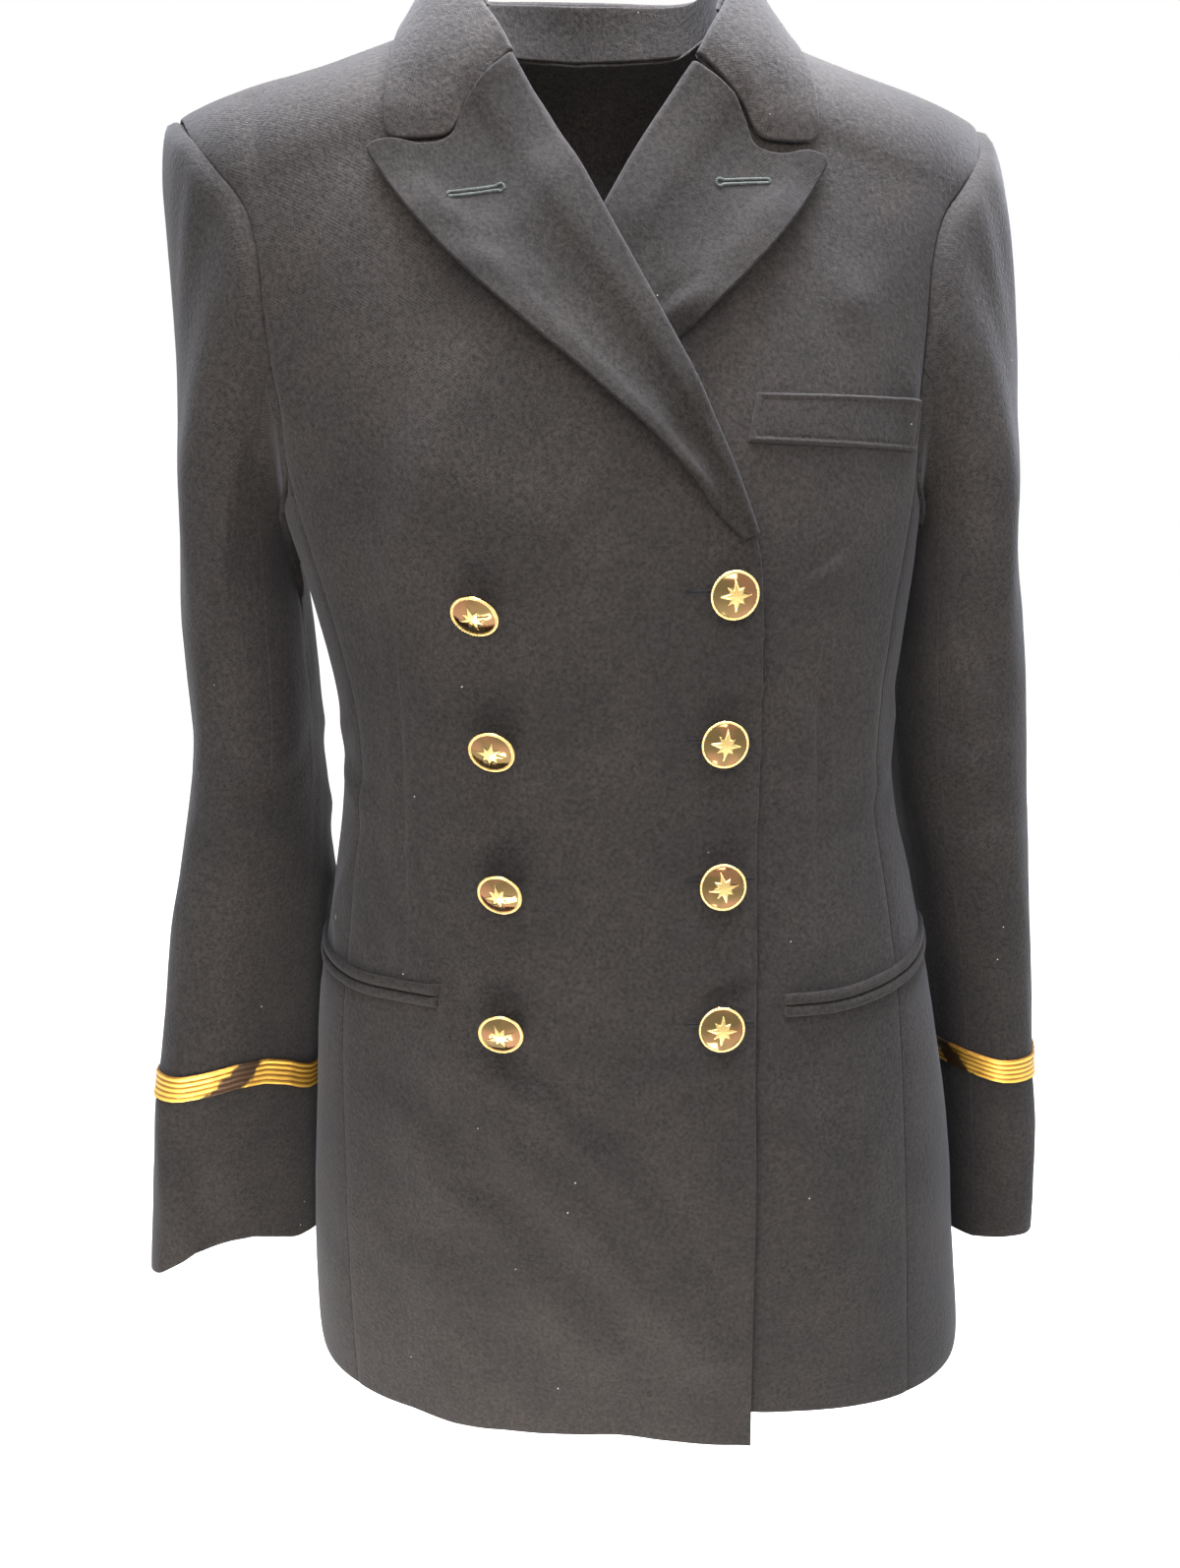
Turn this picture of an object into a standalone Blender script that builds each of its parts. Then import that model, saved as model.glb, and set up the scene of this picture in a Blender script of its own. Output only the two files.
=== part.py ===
"""Double-breasted naval uniform jacket, worn and buttoned right over left.

The cloth is one hollow body surface and two hollow sleeves. Every cut piece is a closed wall
taken from those surfaces, so pieces meet at their seams. Tables are in millimetres, the
objects in metres. +X is the wearer's left, -Y the front, +Z up, and the origin is the middle
of the shoulders, where the wearer carries the jacket.
"""
import math

import bpy
import numpy as np

MM = 0.001
CLOTH = 2.0            # thickness of the body and sleeve cloth
SEAM = 0.4             # space between two pieces at a seam of the body
SLEEVE_SEAM = 0.6      # how far each sleeve piece is pulled in from its seams
LAID_ON = 0.4          # space under a piece that lies on another
OVERLAP_LIFT = 3.4     # how far the over front stands off where it covers the under front
EASE = 34.0            # width over which the over front rises onto what it covers
LAPEL_LIFT = 3.4       # outer face of the left lapel above the front that it lies on
OVER_LAPEL_LIFT = 4.3  # the same for the right lapel, which lies over the rising front
ROLL_SWELL = 1.4       # how much a lapel swells beside its roll line
EDGE_SWELL = 3.2       # and at its free edge
SEAM_RADIUS = 140.0    # mean radius of the body sections, to turn a gap into an angle

ROOF_HEIGHT = 55.0     # the shoulders turn from front to back within this height
ROOF_ARC = 85.0        # length of cloth from the shoulder line down to where the turn ends
ROUNDNESS = 2.35       # exponent of the body sections, 2 is an ellipse
SHOULDER_TILT = -0.02  # the wearer's left shoulder is carried a little higher

# Body sections: height, half width, front depth, back depth, sideways sway, turn in degrees
BODY = (
    (-760, 191, 113, 117, 21, -5.0),
    (-710, 193, 114, 119, 20, -5.0),
    (-657, 191, 114, 119, 18, -5.0),
    (-573, 184, 112, 117, 15.5, -5.0),
    (-498, 174, 108, 108, 12.5, -4.4),
    (-460, 167, 105, 100, 11.5, -3.8),
    (-426, 160, 102, 92, 10, -3.0),
    (-380, 151, 99, 85, 8, -2.0),
    (-334, 149, 99, 85, 7, -1.0),
    (-281, 155, 104, 94, 4, 0.0),
    (-235, 163, 109, 102, 0, 1.5),
    (-200, 170, 109, 106, -3, 3.0),
    (-150, 186, 103, 105, -6, 4.5),
    (-110, 204, 95, 98, -8, 5.5),
    (-70, 216, 86, 89, -9, 6.0),
    (-45, 221, 83, 86, -9, 6.0),
    (20, 223, 78, 80, -9, 6.0),
)

# Shoulder line: distance from the middle, height
SHOULDER_LINE = (
    (0, 8), (15, 7.8), (40, 4.0), (60, -3), (75, -9.5), (100, -18.5), (130, -27.5), (160, -35),
    (180, -41), (196, -47), (215, -57),
)
NECK_POINT = 64.0
SHOULDER_TIP = 195.0

# Armhole, from the shoulder tip down to the underarm: distance from the middle, height
ARMHOLE_FRONT = (
    (195, -46), (189, -57), (174, -78), (160, -95), (153, -110), (152, -130), (150.5, -155),
    (149, -180), (149.5, -203), (154, -222), (163, -235),
)
ARMHOLE_BACK = (
    (195, -46), (192, -56), (180, -78), (167, -106), (160, -135), (158, -165), (157, -195),
    (158, -218), (163, -235),
)
UNDERARM_SHARE = 0.86  # share of the armhole that belongs to the front or the back panel

# Seams down the body: height, angle of the front seam, angle of the back seam, from the front
SIDE_SEAMS = (
    (-760, 63, 122), (-573, 64, 121), (-426, 67, 119), (-334, 68, 117), (-212, 71, 112),
    (-190, 71, 112),
)

# Neckline behind the neck: distance from the middle, length of cloth behind the shoulder line
NECKLINE_BACK = ((0, 33), (23, 31), (42, 26), (55.5, 17), (64, 0))

# Front edge, then the roll line of the lapel, then under the collar to the neck point:
# distance from the middle line, height. The over front reaches across to the other side.
FRONT_EDGE = ((66, -760), (69, -620), (70, -560), (69, -474), (68, -404), (67.5, -334), (67, -262))
ROLL_LINE = {
    "right": ((66, -243), (50.5, -207), (34, -173), (24, -155), (6, -123), (-4, -105), (-22, -73),
              (-40, -43)),
    "left": ((66, -243), (53, -207), (39, -173), (29.5, -155), (14.5, -123), (4, -105),
             (-16, -73), (-37.5, -43)),
}
UNDER_COLLAR = ((-51, -30), (-59, -18))

# Lapel: outer edge from the break up to the peak, then along the top to the gorge and up it
LAPEL_EDGE = (
    (62, -246), (44, -229), (34, -216), (-9, -177), (-43, -149), (-72, -121), (-91, -98),
    (-101, -83),
)
LEFT_LAPEL_TRIM = 4.0  # the left lapel is drawn in by this much at its outer edge
LAPEL_TOP = ((-103, -80), (-98, -77), (-83, -79), (-68, -77.5), (-61, -65), (-46, -43))

# Collar, from the gorge round to the middle of the back. Each place is the distance from the
# middle and the length of cloth before (-) or behind (+) the shoulder line, then its lift.
COLLAR = (
    # seam to the body    roll of the collar      outer edge
    (-44.7, -72.0, 0.0, -44.7, -72.0, 3.4, -93.5, -86.0, 3.4),
    (-54.0, -52.0, 0.0, -50.0, -58.0, 8.0, -91.5, -64.0, 3.8),
    (-60.0, -30.0, 0.0, -54.5, -41.0, 15.0, -87.0, -42.0, 4.4),
    (-63.5, -10.0, 0.0, -57.5, -18.0, 22.0, -82.0, -16.0, 5.0),
    (-63.5, 6.0, 0.0, -57.0, 3.0, 25.0, -78.5, 7.0, 5.4),
    (-57.0, 17.0, 0.0, -51.5, 16.0, 26.5, -74.0, 25.0, 5.4),
    (-42.0, 26.0, 0.0, -38.0, 23.0, 27.0, -65.0, 43.0, 5.4),
    (-23.0, 31.0, 0.0, -20.0, 26.0, 27.5, -37.0, 54.0, 5.4),
    (0.0, 33.0, 0.0, 0.0, 26.5, 27.5, 0.0, 58.0, 5.4),
)
GORGE = ((-39.5, -40.0), (-49.5, -49), (-59, -60), (-67, -71), (-80, -72), (-93.5, -72))
COLLAR_CLOTH = 2.4
GORGE_REACH = 0.14     # share of the collar that the slant of its front end dies out in
STAND_HEIGHT = 0.8     # top of the stand as a share of the height of the roll
LEFT_FALL_DRAW = 6.0   # the left half of the fall rolls closer to the neck by this much
LAPEL_CLOTH = 2.4

# Hem height by angle from the front, for the over side and the under side
HEM = ((0, -703), (20, -706.5), (40, -710), (64, -716), (90, -722), (122, -724), (180, -722))
UNDER_RISE = 18.0      # the wearer's left side hangs this much higher

# Sleeves: height, centre x, centre y, half depth, half width, turn of the section in degrees
SLEEVE_RIGHT = (
    (-250, -191.5, 2, 61, 26.5, 0),
    (-293, -190.0, 1, 58, 30.0, 2),
    (-358, -188.0, -2, 56, 29.0, 6),
    (-400, -190.5, -5, 55, 31.0, 16),
    (-440, -193.5, -8, 55, 31.0, 25),
    (-516, -202.5, -16, 55, 27.0, 33),
    (-580, -208.5, -21, 55, 25.5, 38),
    (-642, -213.0, -25, 55, 25.5, 42),
)
SLEEVE_LEFT = (
    (-250, 189.0, 7, 60, 26.0, 0),
    (-293, 192.5, 10, 58, 31.0, 0),
    (-358, 197.5, 13, 57, 35.0, 2),
    (-400, 203.0, 15, 56, 33.0, 4),
    (-440, 209.0, 17, 56, 30.0, 6),
    (-516, 219.5, 21, 56, 26.5, 9),
    (-580, 227.5, 24, 56, 24.5, 11),
    (-645, 232.0, 26, 56, 24.0, 12),
)
SLEEVE_ROUNDNESS = 2.2
ARMHOLE_STEPS = 8      # columns of the sleeve along the front or the back panel
UNDERARM_STEPS = 4     # columns of the sleeve along the side panel
SEAM_STEP = 6          # the sleeve seams start this many columns from the shoulder tip
CAP_STEPS = 6
CAP_SWELL = 9.0        # how far the sleeve head swells past the shoulder tip

# The forearm leans forward, so its rings tilt. Angle on the sleeve, 0 in front and 90 outside,
# height of the cuff's edge, height of the top of the lace
CUFF_RIGHT = (
    (-180, -656, -549.5), (-140, -650, -544), (-110, -641, -534), (-75, -633, -526.5),
    (-43, -629, -522.5), (-27, -629, -522.5), (-12, -639, -523.5), (18, -647, -525),
    (60, -650, -529), (120, -654, -540), (180, -656, -549.5),
)
CUFF_LEFT = (
    (-180, -662, -538), (-90, -661, -534), (-45, -658, -530.5), (-32, -657, -529.5),
    (-18, -651, -529.5), (-8, -646, -529.5), (20, -645, -529.5), (60, -648, -531),
    (120, -655, -535), (180, -662, -538),
)
CUFF_TILT_STARTS = -450.0

LACE_WIDTH = 14.5
LACE_CLOTH = 1.0
LACE_GAP = 0.6         # space under the lace

# Hip pocket lines: angle from the front, height. The two jets lie above and below each.
POCKET_LINE = {
    "right": ((42, -465), (51, -467), (61, -469), (72, -467.5), (85, -462)),
    "left": ((41, -466), (53, -466.5), (63, -463.5), (73, -458.5), (85, -450)),
}
JET_PITCH = 6.0
JET_WIDTH = 5.2
JET_LIFT = 0.7         # the jets stand this far off the panel they cross
JET_CLOTH = 1.4
# Breast welt, round its corners: distance from the middle, height
WELT_CORNERS = ((60, -200), (145, -202.5), (147, -178.5), (64, -179))
WELT_CLOTH = 1.8

BUTTON_RADIUS = 11.25
SHANK_RADIUS = 1.7
BUTTON_SEGMENTS = 20
# Button, from the foot of its shank to the top of its dome: radius, height off the cloth
BUTTON_PROFILE = (
    (SHANK_RADIUS, 0.5), (SHANK_RADIUS, 3.4), (BUTTON_RADIUS - 1.2, 3.9), (BUTTON_RADIUS, 4.6),
    (BUTTON_RADIUS, 5.6), (BUTTON_RADIUS - 0.9, 6.5), (BUTTON_RADIUS - 2.2, 6.3),
    (BUTTON_RADIUS * 0.55, 7.7), (0.0, 8.4),
)
# Buttons: column, row height, distance from the middle, droop in degrees, lean in degrees
BUTTONS = (
    ("left", -265.0, 52.5, 0, 0),
    ("left", -334.5, 49.0, 0, 0),
    ("left", -404.0, 50.5, 0, 0),
    ("left", -473.5, 51.5, 0, 0),
    ("right", -271.0, -60.0, 18, 10),
    ("right", -336.5, -56.5, 22, 0),
    ("right", -407.0, -53.0, 22, 3),
    ("right", -477.5, -54.0, 18, -6),
)

# Folds of the fronts: side, start x, start height, end x, end height, depth, width
FRONT_FOLDS = (
    (-1, -84, -500, 44, -650, 3.6, 16),
    (-1, -110, -545, -10, -650, 2.2, 17),
    (1, 112, -530, 128, -640, 2.4, 18),
)

NAVY = (0.016, 0.017, 0.022, 1.0)
GOLD = (0.83, 0.56, 0.17, 1.0)
LACE_GOLD = (0.78, 0.52, 0.13, 1.0)


# ---------------------------------------------------------------- curves and tables

def spline(rows, where):
    """Read the smooth curve through rows (first column ascending) at each place."""
    rows = np.asarray(rows, float)
    knots, values = rows[:, 0], rows[:, 1:]
    steps = np.diff(knots)[:, None]
    slopes = np.diff(values, axis=0) / steps
    tangents = np.vstack([slopes[:1], (slopes[:-1] * steps[1:] + slopes[1:] * steps[:-1])
                          / (steps[:-1] + steps[1:]), slopes[-1:]])
    where = np.clip(np.asarray(where, float), knots[0], knots[-1])
    index = np.clip(np.searchsorted(knots, where, side="right") - 1, 0, len(knots) - 2)
    width = steps[index, 0]
    t = ((where - knots[index]) / width)[..., None]
    width = width[..., None]
    low, high = values[index], values[index + 1]
    return (low * (1 + 2 * t) * (1 - t) ** 2 + high * t ** 2 * (3 - 2 * t)
            + width * (tangents[index] * t * (1 - t) ** 2 - tangents[index + 1] * t ** 2 * (1 - t)))


def along(points, shares):
    """Points at given shares, 0 to 1, of the length of a smooth curve through points."""
    points = np.asarray(points, float)
    lengths = np.concatenate([[0], np.cumsum(np.linalg.norm(np.diff(points, axis=0), axis=1))])
    return spline(np.column_stack([lengths, points]), np.asarray(shares) * lengths[-1])


def smoothstep(value):
    value = np.clip(value, 0.0, 1.0)
    return value * value * (3 - 2 * value)


def patch(low, high, left, right):
    """Fill the area between four boundary curves (a Coons patch)."""
    across = np.linspace(0, 1, len(low))[None, :, None]
    up = np.linspace(0, 1, len(left))[:, None, None]
    low, high, left, right = low[None], high[None], left[:, None], right[:, None]
    corners = ((1 - up) * ((1 - across) * low[:, :1] + across * low[:, -1:])
               + up * ((1 - across) * high[:, :1] + across * high[:, -1:]))
    return (1 - up) * low + up * high + (1 - across) * left + across * right - corners


# ---------------------------------------------------------------- the body surface

def shoulder_height(x):
    return spline(SHOULDER_LINE, np.abs(x))[..., 0] - SHOULDER_TILT * x


def fold_depth(side, x, z):
    total = np.zeros(np.broadcast(x, z).shape)
    for fold_side, x0, z0, x1, z1, depth, width in FRONT_FOLDS:
        if fold_side != side:
            continue
        span = np.array((x1 - x0, z1 - z0), float)
        share = np.clip(((x - x0) * span[0] + (z - z0) * span[1]) / (span @ span), 0, 1)
        away = np.hypot(x - x0 - share * span[0], z - z0 - share * span[1])
        total += depth * np.exp(-(away / width) ** 2)
    return total


def ring(angle, z):
    """Plan position of the body section at a height, angle 0 in front and 90 at the left."""
    half_width, front, back = np.moveaxis(spline(BODY, z)[..., :3], -1, 0)
    depth = np.where(np.cos(angle) > 0, front, back)
    radius = (np.abs(np.sin(angle) / half_width) ** ROUNDNESS
              + np.abs(np.cos(angle) / depth) ** ROUNDNESS) ** (-1 / ROUNDNESS)
    return radius * np.sin(angle), -radius * np.cos(angle)


def body_at(angle, cloth):
    """A point of the body's outer face. cloth is the length below the shoulder line."""
    x, _ = ring(angle, np.full(np.shape(angle), -100.0))
    for _ in range(4):
        knee = shoulder_height(x) - ROOF_HEIGHT
        level = np.minimum(knee, knee - (cloth - ROOF_ARC))
        x, y = ring(angle, level)
    turn = np.maximum(ROOF_ARC - cloth, 0) / ROOF_ARC * math.pi / 2
    z = level + ROOF_HEIGHT * np.sin(turn)
    y = y * np.cos(turn)
    sway, twist = np.moveaxis(spline(BODY, z)[..., 3:], -1, 0)
    twist = np.radians(twist)
    return np.stack([sway + x * np.cos(twist) - y * np.sin(twist),
                     x * np.sin(twist) + y * np.cos(twist), z], -1)


def body(places, lift=0.0):
    """Points at (angle, cloth) places, moved out from the body by lift."""
    angle, cloth = np.moveaxis(np.asarray(places, float), -1, 0)
    step = 1e-3
    across = body_at(angle + step, cloth) - body_at(angle - step, cloth)
    down = body_at(angle, cloth + 1.0) - body_at(angle, cloth - 1.0)
    normal = np.cross(down, across)
    normal /= np.linalg.norm(normal, axis=-1, keepdims=True)
    lift = np.broadcast_to(lift, angle.shape)
    return body_at(angle, cloth) + normal * lift[..., None]


def place(x, cloth):
    """Angle and cloth of a place from its distance off the middle and its signed cloth."""
    x, cloth = np.broadcast_arrays(np.asarray(x, float), np.asarray(cloth, float))
    knee = shoulder_height(x) - ROOF_HEIGHT
    level = np.minimum(knee, knee - (np.abs(cloth) - ROOF_ARC))
    half_width, front, back = np.moveaxis(spline(BODY, level)[..., :3], -1, 0)
    depth = np.where(cloth < 0, front, back)
    share = np.clip(1 - np.abs(x / half_width) ** ROUNDNESS, 0, 1) ** (1 / ROUNDNESS)
    angle = np.arctan2(x, np.where(cloth < 0, 1, -1) * depth * share)
    return np.stack([angle, np.abs(cloth)], -1)


def cloth_at(x, z):
    """Length of cloth from the shoulder line down to a height."""
    knee = shoulder_height(x) - ROOF_HEIGHT
    turn = np.arcsin(np.clip((z - knee) / ROOF_HEIGHT, 0, 1))
    return np.where(z < knee, ROOF_ARC + knee - z, ROOF_ARC * (1 - turn * 2 / math.pi))


def front_place(points):
    x, z = np.moveaxis(np.asarray(points, float), -1, 0)
    return place(x, -cloth_at(x, z) - 1e-6)


def back_place(points):
    x, z = np.moveaxis(np.asarray(points, float), -1, 0)
    return place(x, cloth_at(x, z) + 1e-6)


def angle_place(degrees, z):
    angle = np.radians(np.asarray(degrees, float))
    x, _ = ring(angle, z)
    return np.stack([angle, cloth_at(x, z)], -1)


def hem_height(degrees, side):
    height = spline(HEM, np.abs(degrees))[..., 0]
    if side > 0:
        height = height + UNDER_RISE * smoothstep((165 - degrees) / 75)
    return height


# ---------------------------------------------------------------- shared boundaries

def armhole(side, half, shares):
    """Places along one half of an armhole, share 0 at the shoulder tip, 1 at the underarm."""
    points = along(ARMHOLE_FRONT if half == "front" else ARMHOLE_BACK, shares)
    points = points * (side, 1)
    find = front_place if half == "front" else back_place
    places = find(points)
    tip = np.asarray(shares) == 0
    places[tip, 1] = 0.0
    return places


PANEL_SHARES = np.linspace(UNDERARM_SHARE, 0, ARMHOLE_STEPS + 1)
UNDERARM_SHARES = np.linspace(UNDERARM_SHARE, 1, UNDERARM_STEPS // 2 + 1)
SEAM_ROWS = 15


def side_seam(side, which):
    """Places up the front or back side seam, from the hem to the armhole."""
    end = armhole(side, which, [UNDERARM_SHARE])[0]
    column = 1 if which == "front" else 2
    bottom = spline(SIDE_SEAMS, -700.0)[column - 1]
    low = hem_height(bottom * side, side)
    top = body_at(end[:1], end[1:])[0, 2]
    heights = low + (top - low) * np.linspace(0, 1, SEAM_ROWS + 1)
    degrees = spline(SIDE_SEAMS, heights)[..., column - 1] * side
    places = angle_place(degrees, heights)
    slide = np.linspace(0, 1, SEAM_ROWS + 1)[:, None] ** 3
    return places + (end - places[-1]) * slide


def inset(places, first, last):
    """Pull the two long sides of a panel in by half a seam."""
    places = places.copy()
    places[:, 0, 0] += first * SEAM / 2 / SEAM_RADIUS
    places[:, -1, 0] += last * SEAM / 2 / SEAM_RADIUS
    return places


# ---------------------------------------------------------------- meshes

def add_object(name, points, faces, material, smooth=True):
    mesh = bpy.data.meshes.new(name)
    mesh.from_pydata([tuple(point) for point in np.asarray(points) * MM], [], faces)
    mesh.validate()
    mesh.materials.append(material)
    item = bpy.data.objects.new(name, mesh)
    bpy.context.collection.objects.link(item)
    if smooth:
        mesh.shade_smooth()
        mesh.set_sharp_from_angle(angle=math.radians(40))
    return item


def wall(name, outer, inner, material, closed=False):
    """A closed wall between two grids of points; closed joins the last column to the first."""
    rows, columns = outer.shape[:2]
    points = np.concatenate([outer.reshape(-1, 3), inner.reshape(-1, 3)])
    offset = rows * columns
    faces = []
    span = columns if closed else columns - 1

    def at(row, column, layer):
        return layer * offset + row * columns + column % columns

    for row in range(rows - 1):
        for column in range(span):
            corners = ((row, column), (row, column + 1), (row + 1, column + 1), (row + 1, column))
            faces.append([at(r, c, 0) for r, c in corners])
            faces.append([at(r, c, 1) for r, c in reversed(corners)])
    for column in range(span):
        faces.append([at(0, column + 1, 0), at(0, column, 0), at(0, column, 1), at(0, column + 1, 1)])
        last = rows - 1
        faces.append([at(last, column, 0), at(last, column + 1, 0), at(last, column + 1, 1),
                      at(last, column, 1)])
    if not closed:
        for row in range(rows - 1):
            faces.append([at(row, 0, 0), at(row + 1, 0, 0), at(row + 1, 0, 1), at(row, 0, 1)])
            edge = columns - 1
            faces.append([at(row + 1, edge, 0), at(row, edge, 0), at(row, edge, 1),
                          at(row + 1, edge, 1)])
    if signed_volume(points, faces) < 0:
        faces = [face[::-1] for face in faces]
    return add_object(name, points, faces, material)


def signed_volume(points, faces):
    total = 0.0
    for face in faces:
        first = points[face[0]]
        for left, right in zip(face[1:-1], face[2:]):
            total += first @ np.cross(points[left], points[right])
    return total / 6


def body_wall(name, places, material, lift=0.0, thickness=CLOTH):
    lift = np.broadcast_to(lift, places.shape[:2])
    return wall(name, body(places, lift), body(places, lift - thickness), material)


def cloth_material(name, color, roughness, metallic=0.0):
    material = bpy.data.materials.new(name)
    material.use_nodes = True
    shader = material.node_tree.nodes["Principled BSDF"]
    shader.inputs["Base Color"].default_value = color
    shader.inputs["Roughness"].default_value = roughness
    shader.inputs["Metallic"].default_value = metallic
    return material


# ---------------------------------------------------------------- body panels

def plan_distance(places):
    """Distance from the middle and height of each place, before sway and turn."""
    points = body_at(places[..., 0], places[..., 1])
    sway, twist = np.moveaxis(spline(BODY, points[..., 2])[..., 3:], -1, 0)
    twist = np.radians(twist)
    x = (points[..., 0] - sway) * np.cos(twist) + points[..., 1] * np.sin(twist)
    return x, points[..., 2]


def under_edge(z):
    """Where the edge or the roll line of the under front runs, at each height."""
    points = np.array(FRONT_EDGE + ROLL_LINE["left"])
    return -np.interp(z, points[:, 1], points[:, 0])


def over_lift(places):
    """How far the right front stands off the body, over the left front and its lapel."""
    x, z = plan_distance(places)
    over_front = smoothstep((x - under_edge(z) + EASE + 20) / EASE)
    over_lapel = smoothstep((z - lapel_height(x) + EASE + 16) / EASE)
    return OVERLAP_LIFT * over_front * (1 + over_lapel)


def lapel_height(x):
    """Height of the outer edge of the left lapel at each distance from the middle."""
    edge = np.array(sorted((-point[0], point[1]) for point in LAPEL_EDGE))
    return np.interp(x, edge[:, 0], edge[:, 1])


def front_lift(places, side):
    """Lift of a whole front, with its folds."""
    folds = fold_depth(side, *plan_distance(places))
    return folds + (over_lift(places) if side < 0 else 0.0)


def front_boundary(side):
    """Places up the front edge and the roll line to the neck point."""
    low = hem_height(22.0 * -side, side)
    edge = [point for point in FRONT_EDGE if point[1] > low + 30]
    edge = [(np.interp(low, *np.transpose(FRONT_EDGE)[::-1]), low)] + edge
    roll = ROLL_LINE["right" if side < 0 else "left"]
    lower = along(edge + [roll[0]], np.linspace(0, 1, SEAM_ROWS + 1))
    upper = along(roll + UNDER_COLLAR, np.linspace(0, 1, ARMHOLE_STEPS))
    points = np.concatenate([lower, upper[1:]]) * (-side, 1)
    neck = place(side * NECK_POINT, np.array(-1e-6))[None]
    return np.concatenate([front_place(points), neck])


def front_panel(side):
    columns = 10
    left = front_boundary(side)
    shares = armhole(side, "front", PANEL_SHARES)
    right = np.concatenate([side_seam(side, "front"), shares[1:]])
    blend = np.linspace(0, 1, columns)
    hem_angles = left[0, 0] + (right[0, 0] - left[0, 0]) * blend
    low = angle_place(np.degrees(hem_angles), hem_height(np.degrees(hem_angles), side))
    left[0], right[0] = low[0], low[-1]
    top_x = side * (NECK_POINT + (SHOULDER_TIP - NECK_POINT) * blend)
    high = place(top_x, np.full(columns, -1e-6))
    left[-1], right[-1] = high[0], high[-1]
    grid = inset(patch(low, high, left, right), side, -side)
    grid[-1, :, 1] = SEAM / 2
    return grid


def side_panel(side):
    columns = UNDERARM_STEPS
    left = side_seam(side, "front")
    right = side_seam(side, "back")
    front = armhole(side, "front", UNDERARM_SHARES)
    back = armhole(side, "back", UNDERARM_SHARES[::-1])
    high = np.concatenate([front, back[1:]])
    blend = np.linspace(0, 1, columns + 1)
    hem_angles = left[0, 0] + (right[0, 0] - left[0, 0]) * blend
    low = angle_place(np.degrees(hem_angles), hem_height(np.degrees(hem_angles), side))
    left[0], right[0] = low[0], low[-1]
    left[-1], right[-1] = high[0], high[-1]
    return inset(patch(low, high, left, right), side, -side)


def back_panel(side):
    neck_columns, shoulder_columns = 3, 6
    left = side_seam(side, "back")
    left = np.concatenate([left, armhole(side, "back", PANEL_SHARES)[1:]])
    shoulder = place(side * np.linspace(SHOULDER_TIP, NECK_POINT, shoulder_columns + 1),
                     np.full(shoulder_columns + 1, 1e-6))
    neckline = along(NECKLINE_BACK[::-1], np.linspace(0, 1, neck_columns + 1))
    neck = place(side * neckline[:, 0], neckline[:, 1] + 1e-6)
    high = np.concatenate([shoulder, neck[1:]])
    middle = side * math.pi
    high[-1, 0] = middle
    hem_angles = left[0, 0] + (middle - left[0, 0]) * np.linspace(0, 1, len(high))
    low = angle_place(np.degrees(hem_angles), hem_height(np.degrees(hem_angles), side))
    cloth = low[-1, 1] + (high[-1, 1] - low[-1, 1]) * np.linspace(0, 1, len(left))
    right = np.stack([np.full(len(left), middle), cloth], -1)
    left[0], left[-1] = low[0], high[0]
    grid = inset(patch(low, high, left, right), side, -side)
    grid[-1, :shoulder_columns + 1, 1] = SEAM / 2
    return grid


# ---------------------------------------------------------------- lapels and collar

def lapel(side):
    """Places of a lapel, from the break to the peak, and its lift above the body."""
    rows, columns = 14, 7
    roll_shares = np.linspace(0.02, 1, rows)
    roll = along(ROLL_LINE["right" if side < 0 else "left"], roll_shares) * (-side, 1)
    edge = along(LAPEL_EDGE + LAPEL_TOP[:1], np.linspace(0.03, 1, rows)) * (-side, 1)
    top = along(LAPEL_TOP, np.linspace(1, 0, columns)) * (-side, 1)
    low = roll[0] + (edge[0] - roll[0]) * np.linspace(0, 1, columns)[:, None]
    top[0] = roll[-1]
    top[-1] = edge[-1]
    points = patch(low, top, roll, edge)
    if side > 0:
        points[..., 0] -= LEFT_LAPEL_TRIM * np.linspace(0, 1, columns)[None]
    places = front_place(points)
    across = np.linspace(0, 1, columns)[None]
    up = np.linspace(0, 1, rows)[:, None]
    swell = ROLL_SWELL * np.exp(-((across - 0.16) / 0.12) ** 2)
    swell = swell + EDGE_SWELL * smoothstep((across - 0.45) / 0.55) * smoothstep(up / 0.2)
    if side < 0:
        return places, over_lift(places) + OVER_LAPEL_LIFT + swell * smoothstep(up / 0.15)
    x, z = plan_distance(places)
    roll_over = np.asarray(ROLL_LINE["right"])
    covered = np.interp(x, roll_over[::-1, 0], roll_over[::-1, 1])
    free = smoothstep((z - covered - 4) / 26)
    return places, LAPEL_LIFT + swell * free


def collar_curves():
    half = np.asarray(COLLAR)
    mirror = half[-2::-1] * (-1, 1, 1, -1, 1, 1, -1, 1, 1)
    return np.concatenate([half, mirror])


def collar_points(x, cloth, lift):
    return body(place(x, cloth), lift)


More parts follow.
